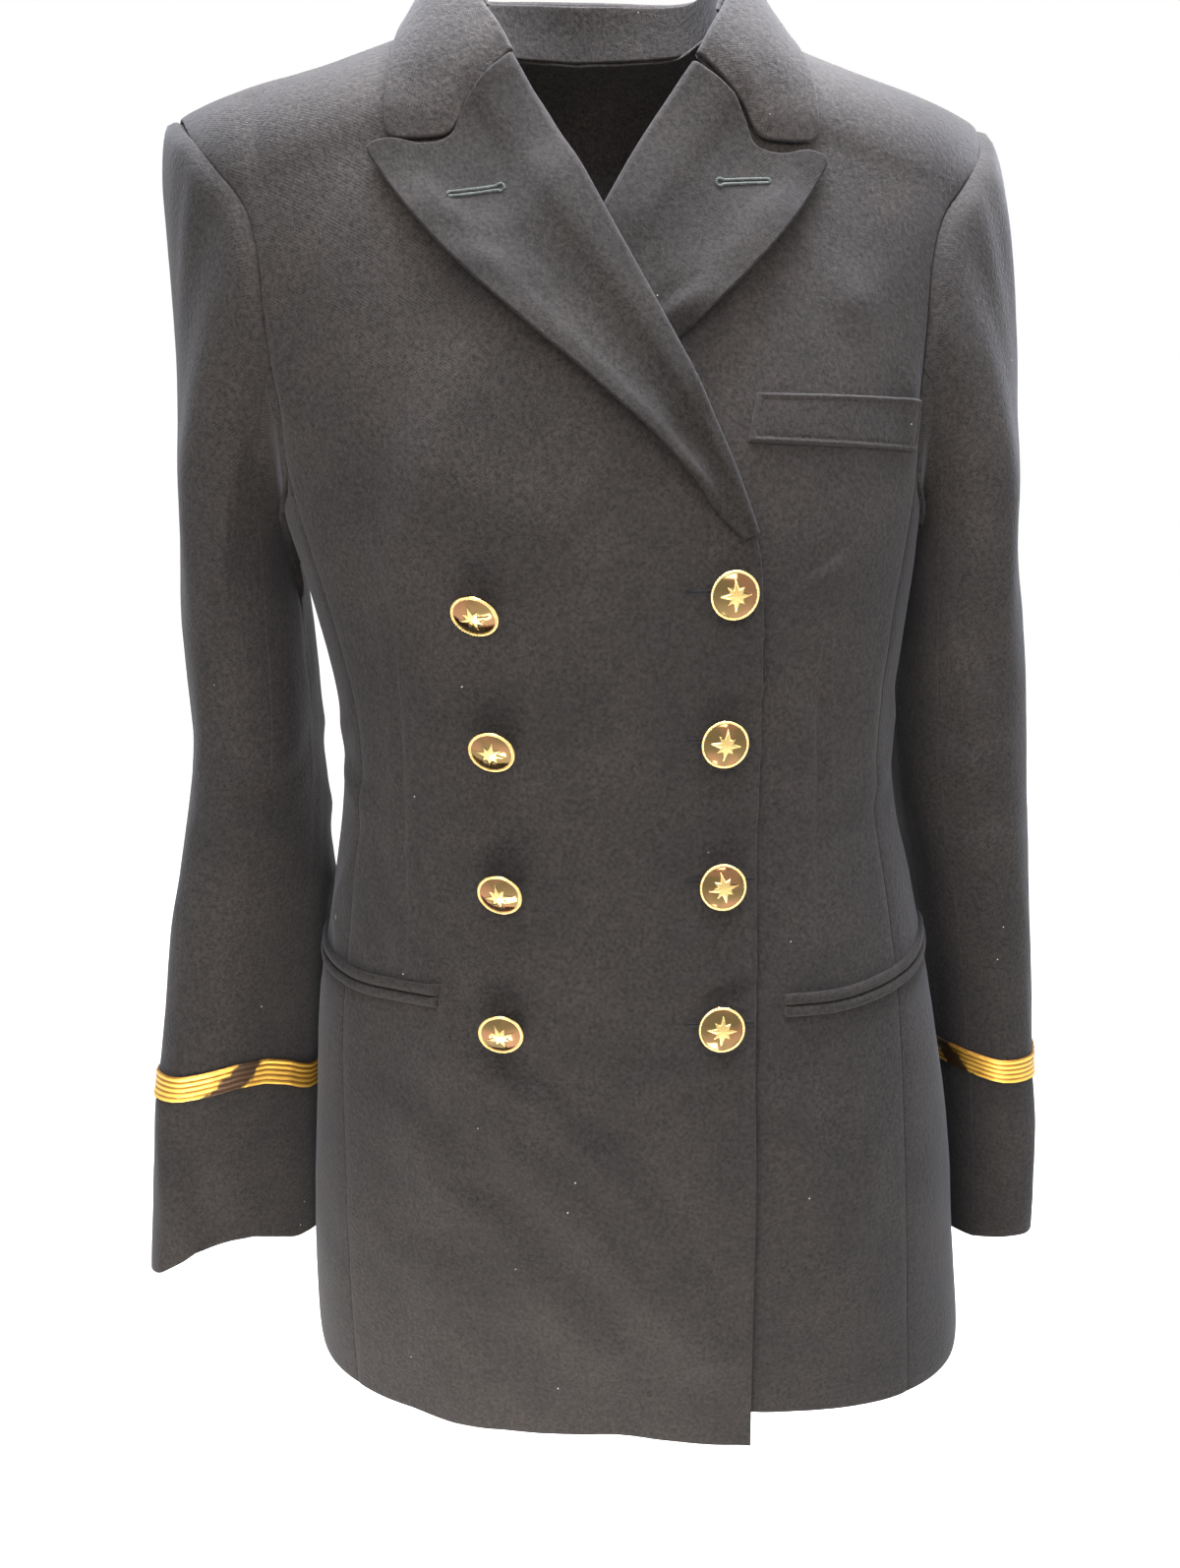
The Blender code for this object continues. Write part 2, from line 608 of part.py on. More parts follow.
def collar_fall():
    rows, columns = 27, 6
    stations = np.linspace(0, 1, rows)
    curves = along_rows(collar_curves(), stations)
    roll, edge = curves[:, 3:6], curves[:, 6:9]
    gorge = along(GORGE, np.linspace(0, 1, columns))
    low = np.column_stack([gorge[:, 0], -cloth_at(gorge[:, 0], gorge[:, 1]),
                           np.full(columns, COLLAR[0][5])])
    across = np.linspace(0, 1, columns)[None]
    blend = across[..., None]
    grid = roll[:, None] * (1 - blend) + edge[:, None] * blend
    nearness = smoothstep(1 - np.minimum(stations, 1 - stations) / GORGE_REACH)[:, None, None]
    bend = low - grid[0]
    from_right = nearness * (stations < 0.5)[:, None, None]
    from_left = nearness * (stations > 0.5)[:, None, None]
    grid = grid + bend[None] * from_right + (bend * (-1, 1, 1))[None] * from_left
    grid[..., 0] -= LEFT_FALL_DRAW * across * np.exp(-((stations[:, None] - 0.73) / 0.12) ** 2)
    stand = grid[:, :1, 2] - COLLAR[0][5]
    grid[..., 2] += stand * 0.55 * across * (1 - across)
    outer = collar_points(grid[..., 0], grid[..., 1] + 1e-6, grid[..., 2])
    above = collar_points(grid[..., 0], grid[..., 1] + 1e-6, grid[..., 2] + 1.0)
    return outer, outer - face_normals(outer, above - outer) * COLLAR_CLOTH


def along_rows(rows, shares):
    return spline(np.column_stack([np.linspace(0, 1, len(rows)), rows]), shares)


def collar_stand():
    rows, columns = 29, 3
    curves = along_rows(collar_curves(), np.linspace(0.07, 0.93, rows))
    seam, roll = curves[:, None, 0:3], curves[:, None, 3:6]
    across = np.linspace(0, 1, columns)[None, :, None]
    grid = seam * (1 - across) + roll * across
    lift = LAID_ON + grid[..., 2] * STAND_HEIGHT
    outer = collar_points(grid[..., 0], grid[..., 1] + 1e-6, lift)
    centre = outer.mean(axis=(0, 1))
    away = (outer - centre) * (1, 1, 0)
    normal = face_normals(outer, away)
    outer = outer - normal * (COLLAR_CLOTH + LAID_ON) * across
    return outer, outer - normal * CLOTH


def face_normals(grid, towards):
    """Unit normals of an open grid, on the side that towards points to."""
    normal = np.cross(np.gradient(grid, axis=0), np.gradient(grid, axis=1))
    normal /= np.linalg.norm(normal, axis=-1, keepdims=True)
    facing = np.sum(normal * towards, axis=-1, keepdims=True)
    return normal * np.sign(facing.sum())


# ---------------------------------------------------------------- sleeves

def sleeve_section(table, z, angle):
    """Ring of a sleeve: angle 0 in front, 90 outside, for a sleeve of the given table."""
    row = spline(table[::-1], z)
    centre_x, centre_y, depth, width, turn = np.moveaxis(row, -1, 0)
    side = np.sign(table[0][1])
    turn = np.radians(turn)
    radius = (np.abs(np.cos(angle) / depth) ** SLEEVE_ROUNDNESS
              + np.abs(np.sin(angle) / width) ** SLEEVE_ROUNDNESS) ** (-1 / SLEEVE_ROUNDNESS)
    ahead, out = radius * np.cos(angle), radius * np.sin(angle)
    x = centre_x + side * (out * np.cos(turn) + ahead * np.sin(turn))
    y = centre_y - ahead * np.cos(turn) + out * np.sin(turn)
    return np.stack([x, y, np.broadcast_to(z, x.shape)], -1)


def sleeve_angles():
    """Section angles of the sleeve columns, from the shoulder tip forward and round."""
    front = np.concatenate([PANEL_SHARES[::-1], UNDERARM_SHARES[1:]])
    ahead = 90 - 180 * front
    behind = 90 + 180 * front[::-1]
    return np.radians(np.concatenate([ahead, behind[1:] - 360]))


def cuff_line(side, angles):
    """Heights of the cuff's edge and of the top of the lace at angles on a sleeve."""
    table = np.array(CUFF_RIGHT if side < 0 else CUFF_LEFT, float)
    turned = (np.degrees(angles) + 180) % 360 - 180
    return np.stack([np.interp(turned, table[:, 0], table[:, 1]),
                     np.interp(turned, table[:, 0], table[:, 2])], -1)


def sleeve_grid(side, rows):
    """Outer points of a whole sleeve: rows down from the armhole, columns round it."""
    table = SLEEVE_RIGHT if side < 0 else SLEEVE_LEFT
    angles = sleeve_angles()
    front = np.concatenate([PANEL_SHARES[::-1], UNDERARM_SHARES[1:]])
    start = np.concatenate([body(armhole(side, "front", front)),
                            body(armhole(side, "back", front[::-1][1:]))])
    lateral = np.array((side, 0.0, 0.0))
    top_z = table[0][0]
    ring_top = sleeve_section(table, np.full(len(angles), float(top_z)), angles)
    outer = (np.sin(angles) + 1) / 2
    ahead = np.cos(angles)
    centre = start.mean(axis=0)
    spread = start - centre
    spread[:, 0] = 0
    spread /= np.linalg.norm(spread, axis=1, keepdims=True)
    pull_out = lateral * (5 + CAP_SWELL * outer[:, None]) + spread * (5 + 3 * outer[:, None])
    drop = (start[:, 2] - ring_top[:, 2])[:, None]
    pull_up = np.array((0, 0, 1.0)) * (drop * (0.30 + 0.32 * outer[:, None]))
    offset = lateral * (SEAM + 0.3) + spread * 0.2
    first = start + offset
    grid = []
    for share in np.linspace(0, 1, CAP_STEPS + 1):
        rest = 1 - share
        grid.append(rest ** 3 * first + 3 * share * rest ** 2 * (first + pull_out)
                    + 3 * share ** 2 * rest * (ring_top + pull_up) + share ** 3 * ring_top)
    for z in np.linspace(top_z, table[-1][0], rows + 1)[1:]:
        row = sleeve_section(table, np.full(len(angles), z), angles)
        tilt = cuff_line(side, angles)[:, 0] - table[-1][0]
        row[:, 2] += tilt * smoothstep((CUFF_TILT_STARTS - z) / (CUFF_TILT_STARTS - table[-1][0]))
        grid.append(row)
    return np.array(grid)


def grid_normals(grid):
    """Outward normals of a grid that closes on itself along its columns."""
    down = np.gradient(grid, axis=0)
    wrapped = np.concatenate([grid[:, -2:-1], grid, grid[:, 1:2]], axis=1)
    across = (wrapped[:, 2:] - wrapped[:, :-2]) / 2
    normal = np.cross(across, down)
    normal /= np.linalg.norm(normal, axis=-1, keepdims=True)
    centre = grid.mean(axis=1, keepdims=True)
    facing = np.sum(normal * (grid - centre), axis=-1, keepdims=True)
    return normal * np.where(facing.sum() < 0, -1, 1)


def sleeve_pieces(side, cloth):
    name = "right" if side < 0 else "left"
    grid = sleeve_grid(side, 12)
    normal = grid_normals(grid)
    inner = grid - normal * CLOTH
    last = grid.shape[1] - 1
    upper = list(range(last - SEAM_STEP, last)) + list(range(0, SEAM_STEP + 1))
    under = list(range(SEAM_STEP, last - SEAM_STEP + 1))
    for label, columns in (("upper", upper), ("under", under)):
        outside, inside = grid[:, columns].copy(), inner[:, columns].copy()
        for shell in (outside, inside):
            for edge, beside in ((0, 1), (-1, -2)):
                step = shell[:, beside] - shell[:, edge]
                step /= np.linalg.norm(step, axis=1, keepdims=True)
                shell[:, edge] += step * SLEEVE_SEAM
        wall("sleeve_%s_%s" % (label, name), outside, inside, cloth)
    return grid, normal


def lace_ring(side, sleeve, normal, material):
    """A band laid on the sleeve, made from the sleeve's own points."""
    name = "right" if side < 0 else "left"
    tops = cuff_line(side, sleeve_angles()[:-1])[:, 1]
    bands = []
    for lift in (LACE_GAP + LACE_CLOTH, LACE_GAP):
        moved = (sleeve + normal * lift)[:, :-1]
        rows = []
        for drop in (0, LACE_WIDTH):
            rows.append([[np.interp(drop - top, -line[:, 2], line[:, axis]) for axis in range(3)]
                         for line, top in zip(moved.transpose(1, 0, 2), tops)])
        bands.append(np.array(rows))
    return wall("lace_" + name, bands[0], bands[1], material, closed=True)


# ---------------------------------------------------------------- pockets

def strip(name, centre_line, width, lift, thickness, material):
    """A flat strip on the front or side, along centre_line of (angle, height) pairs."""
    degrees, heights = np.transpose(centre_line)
    low = angle_place(degrees, heights - width / 2)
    high = angle_place(degrees, heights + width / 2)
    places = np.stack([low, high])
    if centre_line[0][0] < 0:
        lift = lift + front_lift(places, -1)
    return wall(name, body(places, lift + thickness), body(places, lift), material)


def hip_pocket(side, cloth):
    """Two jets on a curved, slanting line that falls towards the front."""
    name = "right" if side < 0 else "left"
    line = along(POCKET_LINE[name], np.linspace(0, 1, 9))
    for label, shift in (("upper", JET_PITCH / 2), ("lower", -JET_PITCH / 2)):
        jet = np.column_stack([line[:, 0] * side, line[:, 1] + shift])
        strip("hip_jet_%s_%s" % (label, name), jet, JET_WIDTH, JET_LIFT, JET_CLOTH, cloth)


def breast_welt(cloth):
    corners = np.asarray(WELT_CORNERS, float)
    blend = np.linspace(0, 1, 7)[:, None]
    low = corners[0] * (1 - blend) + corners[1] * blend
    high = corners[3] * (1 - blend) + corners[2] * blend
    places = front_place(np.stack([low, (low + high) / 2, high]))
    return wall("breast_welt", body(places, LAID_ON + WELT_CLOTH), body(places, LAID_ON), cloth)


# ---------------------------------------------------------------- buttons

def turned(profile, segments):
    """Points and faces of a solid of revolution about Z, profile from its base to its top."""
    points, faces = [(0.0, 0.0, profile[0][1])], []
    for reach, height in profile[:-1]:
        for step in range(segments):
            turn = 2 * math.pi * step / segments
            points.append((reach * math.cos(turn), reach * math.sin(turn), height))
    points.append((0.0, 0.0, profile[-1][1]))
    levels = len(profile) - 1
    last = 1 + (levels - 1) * segments
    for step in range(segments):
        after = (step + 1) % segments
        faces.append((0, 1 + after, 1 + step))
        for level in range(levels - 1):
            low, high = 1 + level * segments, 1 + (level + 1) * segments
            faces.append((low + step, low + after, high + after, high + step))
        faces.append((last + step, last + after, len(points) - 1))
    return points, faces


def button(name, row, material):
    """A domed, rimmed button on a shank, turned about its shank by droop and lean."""
    _, z, x, droop, lean = row
    spot = front_place(((x, z), (x, z - 4), (x + 4, z)))
    lift = over_lift(spot)
    base = body(spot, lift)
    ahead = np.cross(base[2] - base[0], base[1] - base[0])
    ahead /= np.linalg.norm(ahead)
    if ahead[1] > 0:
        ahead = -ahead
    points, faces = turned(BUTTON_PROFILE, BUTTON_SEGMENTS)
    right = np.cross((0, 0, 1.0), -ahead)
    right /= np.linalg.norm(right)
    up = np.cross(ahead, right)
    up *= np.sign(up[2])
    droop, lean = math.radians(droop), math.radians(lean)
    tipped = ahead * math.cos(droop) - up * math.sin(droop)
    tipped = tipped * math.cos(lean) + right * math.sin(lean)
    tipped /= np.linalg.norm(tipped)
    side_axis = np.cross(up, tipped)
    side_axis /= np.linalg.norm(side_axis)
    up_axis = np.cross(tipped, side_axis)
    frame = np.array((side_axis, up_axis, tipped))
    lifted = base[0] + ahead * SHANK_RADIUS * math.sin(abs(droop))
    placed = lifted + np.asarray(points) @ frame
    if signed_volume(placed, faces) < 0:
        faces = [face[::-1] for face in faces]
    return add_object(name, placed, faces, material)


# ---------------------------------------------------------------- the jacket

def build():
    for item in list(bpy.data.objects):
        bpy.data.objects.remove(item, do_unlink=True)
    navy = cloth_material("navy_wool", NAVY, 0.9)
    lace_cloth = cloth_material("gold_lace", LACE_GOLD, 0.4, 0.8)
    gilt = cloth_material("gilt_brass", GOLD, 0.22, 1.0)
    for side, name in ((-1, "right"), (1, "left")):
        front = front_panel(side)
        body_wall("front_" + name, front, navy, front_lift(front, side))
        body_wall("side_" + name, side_panel(side), navy)
        body_wall("back_" + name, back_panel(side), navy)
        places, lift = lapel(side)
        body_wall("lapel_" + name, places, navy, lift, LAPEL_CLOTH)
        sleeve, normal = sleeve_pieces(side, navy)
        lace_ring(side, sleeve, normal, lace_cloth)
        hip_pocket(side, navy)
    breast_welt(navy)
    wall("collar_fall", *collar_fall(), navy)
    wall("collar_stand", *collar_stand(), navy)
    counts = {"left": 0, "right": 0}
    for row in BUTTONS:
        counts[row[0]] += 1
        button("button_%s_%d" % (row[0], counts[row[0]]), row, gilt)


build()
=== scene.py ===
"""Looks of the naval uniform jacket: wool cloth, lace, buttons, stitching, light and camera.

Every cloth piece is a thin shell on the form of its CAD solid. The tables that give that form
are the CAD's own, in millimetres, and the objects are in metres. +X is the wearer's left, -Y
the front, +Z up. "right" and "left" are the wearer's.
"""

import itertools
import math

import bpy
import numpy as np
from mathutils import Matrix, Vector
from mathutils.kdtree import KDTree


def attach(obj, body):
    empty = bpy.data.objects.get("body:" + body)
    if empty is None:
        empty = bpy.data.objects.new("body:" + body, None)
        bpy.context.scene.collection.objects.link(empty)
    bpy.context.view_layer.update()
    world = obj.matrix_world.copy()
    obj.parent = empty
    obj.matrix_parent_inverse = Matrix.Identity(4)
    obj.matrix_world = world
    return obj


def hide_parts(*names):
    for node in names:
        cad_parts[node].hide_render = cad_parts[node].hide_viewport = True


MM = 0.001
CLOTH = 2.0            # thickness of the body and sleeve cloth
SEAM = -0.14           # negative: two pieces meet by this much inside a seam of the body
LAID_ON = 0.4          # space under a piece that lies on another
OVERLAP_LIFT = 3.4     # how far the over front stands off where it covers the under front
EASE = 34.0            # width over which the over front rises onto what it covers
EDGE_MARGIN = 20.0     # it has risen this far before the edge of the under front
LAPEL_MARGIN = 16.0    # and this far before the edge of the under front's lapel
LAPEL_LIFT = 3.4       # outer face of the left lapel above the front that it lies on
OVER_LAPEL_LIFT = 4.3  # the same for the right lapel, which lies over the rising front
ROLL_SWELL = 1.4       # how much a lapel swells beside its roll line
ROLL_SWELL_AT = 0.16   # share of the lapel's width
ROLL_SWELL_WIDTH = 0.12
EDGE_SWELL = 6.0       # and at its free edge
TOP_PRESS = 0.8        # this share of that swell dies out at the top, beside the collar
SEAM_RADIUS = 140.0    # mean radius of the body sections, to turn a gap into an angle

ROOF_HEIGHT = 55.0     # the shoulders turn from front to back within this height
ROOF_ARC = 85.0        # length of cloth from the shoulder line down to where the turn ends
ROUNDNESS = 2.35       # exponent of the body sections, 2 is an ellipse
SHOULDER_TILT = -0.02  # the wearer's left shoulder is carried a little higher

# Body sections: height, half width, front depth, back depth, sideways sway, turn in degrees
BODY = (
    (-760, 191, 113, 117, 21, -5.0),
    (-710, 193, 114, 119, 20, -5.0),
    (-657, 191, 114, 119, 18, -5.0),
    (-573, 184, 112, 117, 15.5, -5.0),
    (-498, 174, 108, 108, 12.5, -4.4),
    (-460, 167, 105, 100, 11.5, -3.8),
    (-426, 160, 102, 92, 10, -3.0),
    (-380, 151, 99, 85, 8, -2.0),
    (-334, 149, 99, 85, 7, -1.0),
    (-281, 155, 104, 94, 4, 0.0),
    (-235, 163, 109, 102, 0, 1.5),
    (-200, 170, 109, 106, -3, 3.0),
    (-150, 186, 103, 105, -6, 4.5),
    (-110, 204, 95, 98, -8, 5.5),
    (-70, 216, 86, 89, -9, 6.0),
    (-45, 221, 83, 86, -9, 6.0),
    (20, 223, 78, 80, -9, 6.0),
)

# Shoulder line: distance from the middle, height
SHOULDER_LINE = (
    (0, 8), (15, 7.8), (40, 4.0), (60, -3), (75, -9.5), (100, -18.5), (130, -27.5), (160, -35),
    (180, -41), (196, -47), (215, -57),
)
NECK_POINT = 64.0
SHOULDER_TIP = 195.0

# Armhole, from the shoulder tip down to the underarm: distance from the middle, height
ARMHOLE_FRONT = (
    (195, -46), (189, -57), (174, -78), (160, -95), (153, -110), (152, -130), (150.5, -155),
    (149, -180), (149.5, -203), (154, -222), (163, -235),
)
ARMHOLE_BACK = (
    (195, -46), (192, -56), (180, -78), (167, -106), (160, -135), (158, -165), (157, -195),
    (158, -218), (163, -235),
)
UNDERARM_SHARE = 0.86  # share of the armhole that belongs to the front or the back panel

# Seams down the body: height, angle of the front seam, angle of the back seam, from the front
SIDE_SEAMS = (
    (-760, 63, 122), (-573, 64, 121), (-426, 67, 119), (-334, 68, 117), (-212, 71, 112),
    (-190, 71, 112),
)

# Neckline behind the neck: distance from the middle, length of cloth behind the shoulder line
NECKLINE_BACK = ((0, 33), (23, 31), (42, 26), (55.5, 17), (64, 0))

# Front edge, then the roll line of the lapel, then under the collar to the neck point:
# distance from the middle line, height. The over front reaches across to the other side.
FRONT_EDGE = ((66, -760), (69, -620), (70, -560), (69, -474), (68, -404), (67.5, -334), (67, -262))
ROLL_LINE = {
    "right": ((66, -243), (50.5, -207), (34, -173), (24, -155), (6, -123), (-4, -105), (-22, -73),
              (-40, -43)),
    "left": ((66, -243), (53, -207), (39, -173), (29.5, -155), (14.5, -123), (4, -105),
             (-16, -73), (-37.5, -43)),
}
UNDER_COLLAR = ((-51, -30), (-59, -18))

# Lapel: outer edge from the break up to the peak, then along the top to the gorge and up it
LAPEL_EDGE = (
    (62, -246), (44, -229), (34, -216), (-9, -177), (-43, -149), (-72, -121), (-91, -98),
    (-101, -83),
)
LEFT_LAPEL_TRIM = 4.0  # the left lapel is drawn in by this much at its outer edge
LAPEL_TOP = ((-103, -80), (-98, -77), (-83, -79), (-68, -77.5), (-61, -65), (-46, -43))

# Collar, from the gorge round to the middle of the back. Each place is the distance from the
# middle and the length of cloth before (-) or behind (+) the shoulder line, then its lift.
COLLAR = (
    # seam to the body    roll of the collar      outer edge
    (-44.7, -72.0, 0.0, -44.7, -72.0, 3.4, -93.5, -86.0, 3.4),
    (-54.0, -52.0, 0.0, -50.0, -58.0, 8.0, -91.5, -64.0, 3.8),
    (-60.0, -30.0, 0.0, -54.5, -41.0, 15.0, -87.0, -42.0, 4.4),
    (-63.5, -10.0, 0.0, -57.5, -18.0, 22.0, -82.0, -16.0, 5.0),
    (-63.5, 6.0, 0.0, -57.0, 3.0, 25.0, -78.5, 7.0, 5.4),
    (-57.0, 17.0, 0.0, -51.5, 16.0, 26.5, -74.0, 25.0, 5.4),
    (-42.0, 26.0, 0.0, -38.0, 23.0, 27.0, -65.0, 43.0, 5.4),
    (-23.0, 31.0, 0.0, -20.0, 26.0, 27.5, -37.0, 54.0, 5.4),
    (0.0, 33.0, 0.0, 0.0, 26.5, 27.5, 0.0, 58.0, 5.4),
)
GORGE = ((-38.5, -41.0), (-50, -51.2), (-60, -63.4), (-67.2, -75.6), (-80, -77.2), (-94, -76.4))
COLLAR_CLOTH = 2.4
GORGE_REACH = 0.14     # share of the collar that the slant of its front end dies out in
STAND_HEIGHT = 0.8     # top of the stand as a share of the height of the roll
LEFT_FALL_DRAW = 6.0   # the left half of the fall rolls closer to the neck by this much
LEFT_DRAW_AT = 0.73    # most of it at this share of the collar's length
LEFT_DRAW_WIDTH = 0.12
FALL_BOW = 0.55        # how much the fall bows out between its roll and its edge
LAPEL_CLOTH = 2.4

# Hem height by angle from the front, for the over side and the under side
HEM = ((0, -703), (20, -706.5), (40, -710), (64, -716), (90, -722), (122, -724), (180, -722))
UNDER_RISE = 18.0      # the wearer's left side hangs this much higher

# Sleeves: height, centre x, centre y, half depth, half width, turn of the section in degrees
SLEEVE_RIGHT = (
    (-250, -191.5, 2, 61, 26.5, 0),
    (-293, -190.0, 1, 58, 30.0, 2),
    (-358, -188.0, -2, 56, 29.0, 6),
    (-400, -190.5, -5, 55, 31.0, 16),
    (-440, -193.5, -8, 55, 31.0, 25),
    (-516, -202.5, -16, 55, 27.0, 33),
    (-580, -208.5, -21, 55, 25.5, 38),
    (-642, -213.0, -25, 55, 25.5, 42),
)
SLEEVE_LEFT = (
    (-250, 189.0, 7, 60, 26.0, 0),
    (-293, 192.5, 10, 58, 31.0, 0),
    (-358, 197.5, 13, 57, 35.0, 2),
    (-400, 203.0, 15, 56, 33.0, 4),
    (-440, 209.0, 17, 56, 30.0, 6),
    (-516, 219.5, 21, 56, 26.5, 9),
    (-580, 227.5, 24, 56, 24.5, 11),
    (-645, 232.0, 26, 56, 24.0, 12),
)
SLEEVE_ROUNDNESS = 2.2
ARMHOLE_STEPS = 8      # columns of the sleeve along the front or the back panel
UNDERARM_STEPS = 4     # columns of the sleeve along the side panel
FRONT_COLUMNS = 10     # columns of a front, from its edge to its side seam
SEAM_STEP = 6          # the sleeve seams start this many columns from the shoulder tip
CAP_STEPS = 6
SLEEVE_ROWS = 12
CAP_SWELL = 9.0        # how far the sleeve head swells past the shoulder tip

# The forearm leans forward, so its rings tilt. Angle on the sleeve, 0 in front and 90 outside,
# height of the cuff's edge, height of the top of the lace
CUFF_RIGHT = (
    (-180, -656, -549.5), (-140, -650, -544), (-110, -641, -534), (-75, -633, -526.5),
    (-43, -629, -522.5), (-27, -629, -522.5), (-12, -639, -523.5), (18, -647, -525),
    (60, -650, -529), (120, -654, -540), (180, -656, -549.5),
)
CUFF_LEFT = (
    (-180, -662, -538), (-90, -661, -534), (-45, -658, -530.5), (-32, -657, -529.5),
    (-18, -651, -529.5), (-8, -646, -529.5), (20, -645, -529.5), (60, -648, -531),
    (120, -655, -535), (180, -662, -538),
)
CUFF_TILT_STARTS = -450.0

LACE_WIDTH = 14.5
LACE_CLOTH = 1.0

# Hip pocket lines: angle from the front, height. The two jets lie above and below each.
POCKET_LINE = {
    "right": ((42, -465), (51, -467), (61, -469), (72, -467.5), (85, -462)),
    "left": ((41, -466), (53, -466.5), (63, -463.5), (73, -458.5), (85, -450)),
}
JET_PITCH = 6.0
JET_WIDTH = 5.2
JET_CLOTH = 1.4
JET_EXTRA = 0.4        # each visible jet is wider than its solid by this, fuller by the swell
JET_SWELL = 0.9
JET_END = 3.0          # length of its rounded ends
# Breast welt, round its corners: distance from the middle, height
WELT_CORNERS = ((60, -200), (145, -202.5), (147, -178.5), (64, -179))
WELT_CLOTH = 1.8

BUTTON_RADIUS = 11.25
SHANK_RADIUS = 1.7
# Buttons: name, height, distance from the middle, then droop, lean and turn in degrees
BUTTONS = (
    ("left_1", -265.0, 52.5, 0, 0, 4),
    ("left_2", -334.5, 49.0, 0, 0, -7),
    ("left_3", -404.0, 50.5, 0, 0, 11),
    ("left_4", -473.5, 51.5, 0, 0, -3),
    ("right_1", -271.0, -60.0, 18, 10, 16),
    ("right_2", -336.5, -56.5, 22, 0, -12),
    ("right_3", -407.0, -53.0, 22, 3, 8),
    ("right_4", -477.5, -54.0, 18, -6, 21),
)

# Folds of the fronts: side, start x, start height, end x, end height, depth, width
FRONT_FOLDS = (
    (-1, -84, -500, 44, -650, 3.6, 16),
    (-1, -110, -545, -10, -650, 2.2, 17),
    (1, 112, -530, 128, -640, 2.4, 18),
)

NAMES = {-1: "right", 1: "left"}
EDGES = ("first", "last", "low", "high")

# The fine shells: steps in from a cut edge, radius of the edge, folded edges
RIM_STEPS = (0.0, 0.15, 0.4, 0.75, 1.2, 2.0)
RIM_RADIUS = 1.0
FOLD_TRIM = 2.8        # a folded edge starts turning this far inside its line
FOLD_INSET = 4.6       # the cut edge of a front is hidden this far inside its lapel's fold
FOLD_STEPS = 14
FOLD_CALM = 20.0       # cloth is even within this much of a fold
COLLAR_TAIL = 3.2      # how far the folded collar reaches back down beside its stand
STAND_TUCK = 1.4       # how far the collar's stand reaches into the neck's seam
TIP_RADIUS = 5.0       # corners of the lapels and the collar
TUCK = 6.0             # seam allowance of a sleeve head, turned in under the body
TUCK_CLOTH = 1.0
HEAD_CALM = 14.0       # creases die out within this much of the sleeve head
SEAM_DIP = 0.45        # the cloth sinks this much beside a pressed seam
SEAM_DIP_WIDTH = 3.2

# Rows and columns of the fine cloth, between the close steps at its rims
COUNTS = {
    "front": (190, 96), "side": (120, 40), "back": (140, 70), "lapel": (120, 46),
    "collar_fall": (170, 36), "collar_stand": (110, 14), "sleeve_upper": (160, 70),
    "sleeve_under": (130, 34),
}
# Worn cloth is never even: size of its lumps, how far they stand off. Then the seeds of the
# lumps on each kind of piece.
UNEVENNESS = ((70.0, 0.9), (26.0, 0.35), (9.0, 0.08))
SEEDS = {"body": 11, "lapel": 31, "sleeve": 41, "collar": 61, "welt": 71, "lace": 81, "hole": 91}
NOISE_CELLS = 24
CREASE_STEPS = 26
CREASE_DEPTH = 1.4     # factor on the depth of every crease
CREASE_REACH = 4.5     # a crease is felt this many widths away

